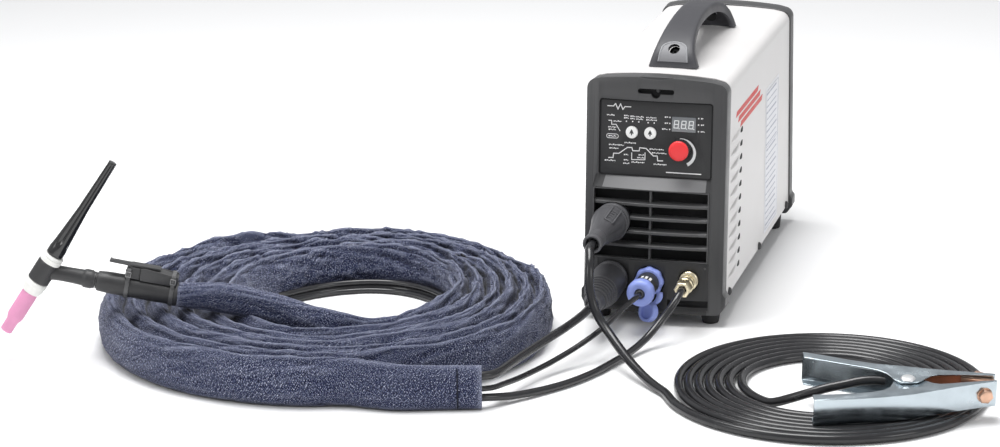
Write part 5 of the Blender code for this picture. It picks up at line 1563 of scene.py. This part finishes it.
def make_switch():
    """The strapped-on switch box with its lever and zip ties."""
    body_side = [(2.3, 14.3), (63.4, 14.3), (63.4, 20.8), (58.0, 21.6), (56.6, 24.9), (24, 24.9), (6, 22.6),
                 (2.3, 21.4)]
    plate_side = [(3, 11.5), (46, 11.5), (46, 25.8), (41, 26.6), (3, 23.2)]
    cheek_side = [(47, 12.0), (63.4, 12.0), (63.4, 21.8), (58.6, 22.6), (57.0, 25.6), (47, 25.6)]
    box_shapes = join(upright(body_side, -7.8, 7.8), upright(plate_side, 7.6, 9.9), upright(plate_side, -9.9, -7.6),
                      upright(cheek_side, 7.4, 9.0), upright(cheek_side, -9.0, -7.4))
    piece("switch_box", box_shapes, TORCH, HANDLE, replaces=("switch_module",), angle=35,
          bevel=0.35)
    lever_line = [(24, 26.3), (62, 26.3), (70, 26.6), (83.6, 27.0), (84, 27.6), (83.8, 28.8), (82, 28.8), (81, 28.2),
                  (60, 28.0), (57, 28.6), (27, 28.6), (24, 28.0)]
    lever = join(upright(lever_line, -6.3, 6.3), block((60, -1.4, 27.2), (82, 1.4, 28.7), 0.3, 1))
    piece("lever_plate", lever, TORCH, HANDLE, body="lever", replaces=("switch_lever",),
          angle=35, bevel=0.3)
    ties, rims = [], []
    for x, half, shoulder, crown in ((7.5, 10.6, 23.0, 24.2), (59.5, 10.0, 21.6, 23.2)):
        flank = [(half, 13), (half, shoulder), (half - 1.2, shoulder + 1.4)]
        path = arc((0, 0), 14.2, 140, 400, 24) + flank + [(0, crown)] + [(-y, z) for y, z in reversed(flank)]
        ties.append(strap([Vector((x, y, z)) for y, z in path], 2.3, 0.55))
        ties.append(block((x - 3.2, 8.6, 14.5), (x + 3.2, 12.6, 20.6), 0.7, 2))
        ties.append(block((x - 1.6, 12.4, 16.6), (x + 1.6, 13.0, 18.6), 0.2, 1))
        # Each tie head gets a pale square rim: painted highlight on its edges.
        rim = [Vector((x + a, 12.7, 17.5 + b)) for a, b in ((-2.9, -2.9), (2.9, -2.9), (2.9, 2.9), (-2.9, 2.9),
                                                            (-2.9, -2.9))]
        for first, second in zip(rim, rim[1:]):
            rims.append(pipe([first, first.lerp(second, 0.5), second], 0.42, 8))
    piece("zip_ties", join(*ties), TIE, HANDLE, angle=40)
    piece("tie_highlight_lines", join(*rims), TIE_HIGHLIGHT, HANDLE, angle=40)


def strap(points, half, thick):
    """A flat band in planes of constant x, round a closed path."""
    rings = []
    count = len(points)
    for index, point in enumerate(points):
        ahead = points[(index + 1) % count]
        behind = points[index - 1]
        along = (ahead - behind).normalized()
        out = along.cross(Vector((1, 0, 0))).normalized()
        side = Vector((half, 0, 0))
        rings.append([point - side - out * thick, point + side - out * thick, point + side + out * thick,
                      point - side + out * thick])
    return skin(rings + [rings[0]], caps=False)


# ---------------------------------------------------------------- earth clamp

# Side outlines of the arms: the back, along which the sheet's web runs, and the open edge.
ARM_BACKS = {"lower": [(-108, -40), (-84, -40.2), (-60, -39), (-30, -36.4), (0, -32), (25, -25.4), (50, -18),
                       (75, -11.6), (96.5, -7)],
             "upper": [(-106, 68), (-84, 59.2), (-60, 48), (-30, 36.4), (0, 29.5), (25, 22.4), (50, 16.5), (75, 11.4),
                       (96.5, 7)]}
ARM_EDGES = {"lower": [(96.5, -3.4), (80, -4.9), (62, -6.5), (46, -8.3), (34, -9.2), (26, -6.5), (19, -0.5), (14, 5),
                       (9, 8), (0, 9.2), (-9, 8), (-15, 2), (-18, -6), (-22, -14), (-30, -20), (-44, -24), (-60, -26),
                       (-84, -27), (-108, -27)],
             "upper": [(96.5, 3.4), (80, 4.9), (62, 6.5), (46, 7.6), (34, 7.8), (26, 5.4), (19, 0), (14, -5.2),
                       (9, -8), (0, -9.2), (-9, -8), (-14, -3), (-17, 4), (-21, 13), (-28, 20), (-42, 27.6), (-60, 35),
                       (-84, 45.6), (-106, 55)]}


def make_arm(kind, half, body):
    """One U-shaped sheet arm with its rivet hole, and a bolt hole in the lower one."""
    sign = 1 if kind == "lower" else -1
    outline = ARM_BACKS[kind] + ARM_EDGES[kind]
    web = [(x, y + sign * 1.8) for x, y in ARM_BACKS[kind]]
    (x0, y0), (x1, y1) = web[0], web[-1]
    hollow = [(x0 - 30, y0 + (0 if kind == "lower" else 12.5))] + web + [(x1 + 40, y1 + sign * 7.6),
                                                                          (x1 + 40, sign * 80), (x0 - 30, sign * 80)]
    tools = [prism(hollow, -half + 1.8, half - 1.8), rod(4.2, -40, 40, 32)]
    if kind == "lower":
        tools.append(rod(3.1, -6, 6, 24, (83, -9.6, 0), (0.26, 1, 0)))
    bm = cut("arm_" + kind, prism(outline, -half, half), tools)
    piece("clamp_sheet_" + kind, bm, ZINC, CLAMP, body=body,
          replaces=("clamp_arm_" + kind,), angle=32, bevel=0.55, segments=3)


def make_clamp():
    """The earth clamp: sheet arms, rivet, spring wire, copper jaws with liner and bolts, and the strap to the cable."""
    make_arm("lower", 15.2, "machine")
    make_arm("upper", 17.5, "upper_arm")
    rivet = lathe([(0, 19.4), (5.6, 19.4), (6.6, 19.1), (7.6, 18.4), (8.0, 17.8), (4, 17.8), (4, -17.8), (8.0, -17.8),
                   (7.6, -18.6), (6.0, -19.5), (3.0, -20), (0, -20)], 48)
    piece("clamp_rivet", rivet, RIVET, CLAMP, replaces=("clamp_pivot",), angle=50)
    wire = [(-62, -32.6, -8.2), (-45, -28.6, -8.4), (-24, -15.5, -8.8), (-6, -8.0, -9)]
    for step in range(18, 76):
        angle = math.tau * step / 24
        wire.append((6.6 * math.cos(angle), 6.6 * math.sin(angle), -9 + 18 * step / 96))
    piece("clamp_wire", pipe(smooth_route(wire, 1.6), 1.35, 10), CHROME, CLAMP,
          replaces=("clamp_spring",), angle=60)
    leg = [(2.4, 8.6, 9.6), (-5, 12.8, 13.0), (-14, 17.5, 14.2), (-36, 30.0, 14.2), (-58, 39.5, 14.2)]
    piece("clamp_wire_leg", pipe(smooth_route(leg, 1.6), 1.35, 10), CHROME, CLAMP, body="upper_arm",
          angle=60)
    for name, way, body in (("contact_lower", -1, "machine"), ("contact_upper", 1, "upper_arm")):
        outline = [(60, 12.4), (66, 11.6), (80, 8.0), (95, 4.4), (95, 0.2), (91, 0.9), (88, 0.2), (85, 0.9), (82, 0.2),
                   (78, 0.4), (70, 3.4), (64, 6.2), (60, 8.0)]
        plate = prism([(x, way * y) for x, y in outline], -12.8, 12.8)
        piece("copper_" + name, plate, COPPER, CLAMP, body=body, replaces=(name,), angle=30,
              bevel=0.3)
    liner = prism([(22, 21.0), (40, 16.4), (60, 12.2), (60, 11.0), (40, 15.2), (22, 19.8)], -14.2, 14.2)
    piece("copper_liner", liner, COPPER_DULL, CLAMP, body="upper_arm", angle=30)
    lower_web = Vector((0.245, -1, 0)).normalized()
    upper_web = Vector((0.21, 1, 0)).normalized()
    for name, at, axis, body in (("lower", Vector((83, -9.7, 0)), lower_web, "machine"),
                                 ("upper", Vector((79, 10.9, 8.5)), upper_web, "upper_arm")):
        washer = lathe([(0, 0.9), (8.4, 0.9), (8.8, 0.4), (8.8, 0), (0, 0)], 40)
        bolt = lathe([(0, 6.4), (6.6, 6.4), (8.3, 5.6), (8.5, 0.9), (0, 0.9)], 6)
        shank = rod(2.9, 0.3, -6.0, 20)
        shape = moved(join(washer, bolt, shank), at, axis=axis)
        piece("jaw_bolt_" + name, shape, COPPER, CLAMP, body=body, angle=30, bevel=0.25)
    strip = [(72, -4.6, -2), (50, -9.6, -2), (28, -14.0, -1), (6, -16, 0), (-8, -17, 0)]
    rings = [[(x, y - 0.6, z - 6), (x, y - 0.6, z + 6), (x, y + 0.6, z + 6), (x, y + 0.6, z - 6)]
             for x, y, z in smooth_route(strip, 2.0)]
    piece("clamp_strap", skin(rings), COPPER, CLAMP, angle=40)


# ---------------------------------------------------------------- everything together


make_camera()
make_light()
CORDS = make_cords()
SLEEVE, SLEEVE_LINE, MOUTH = make_sleeve()
EXTRAS = [make_hem(SLEEVE_LINE, MOUTH), make_inner_hoses()]
for make in (make_torch_body, make_torch_head, make_switch, make_clamp, make_front_bezel, make_grille, make_panel,
             make_printing, make_buttons, make_knob, make_cover, make_base, make_handle, make_rear, make_internals,
             make_sockets, make_earth_plug, make_torch_plug, make_control_plug, make_coupler):
    make()
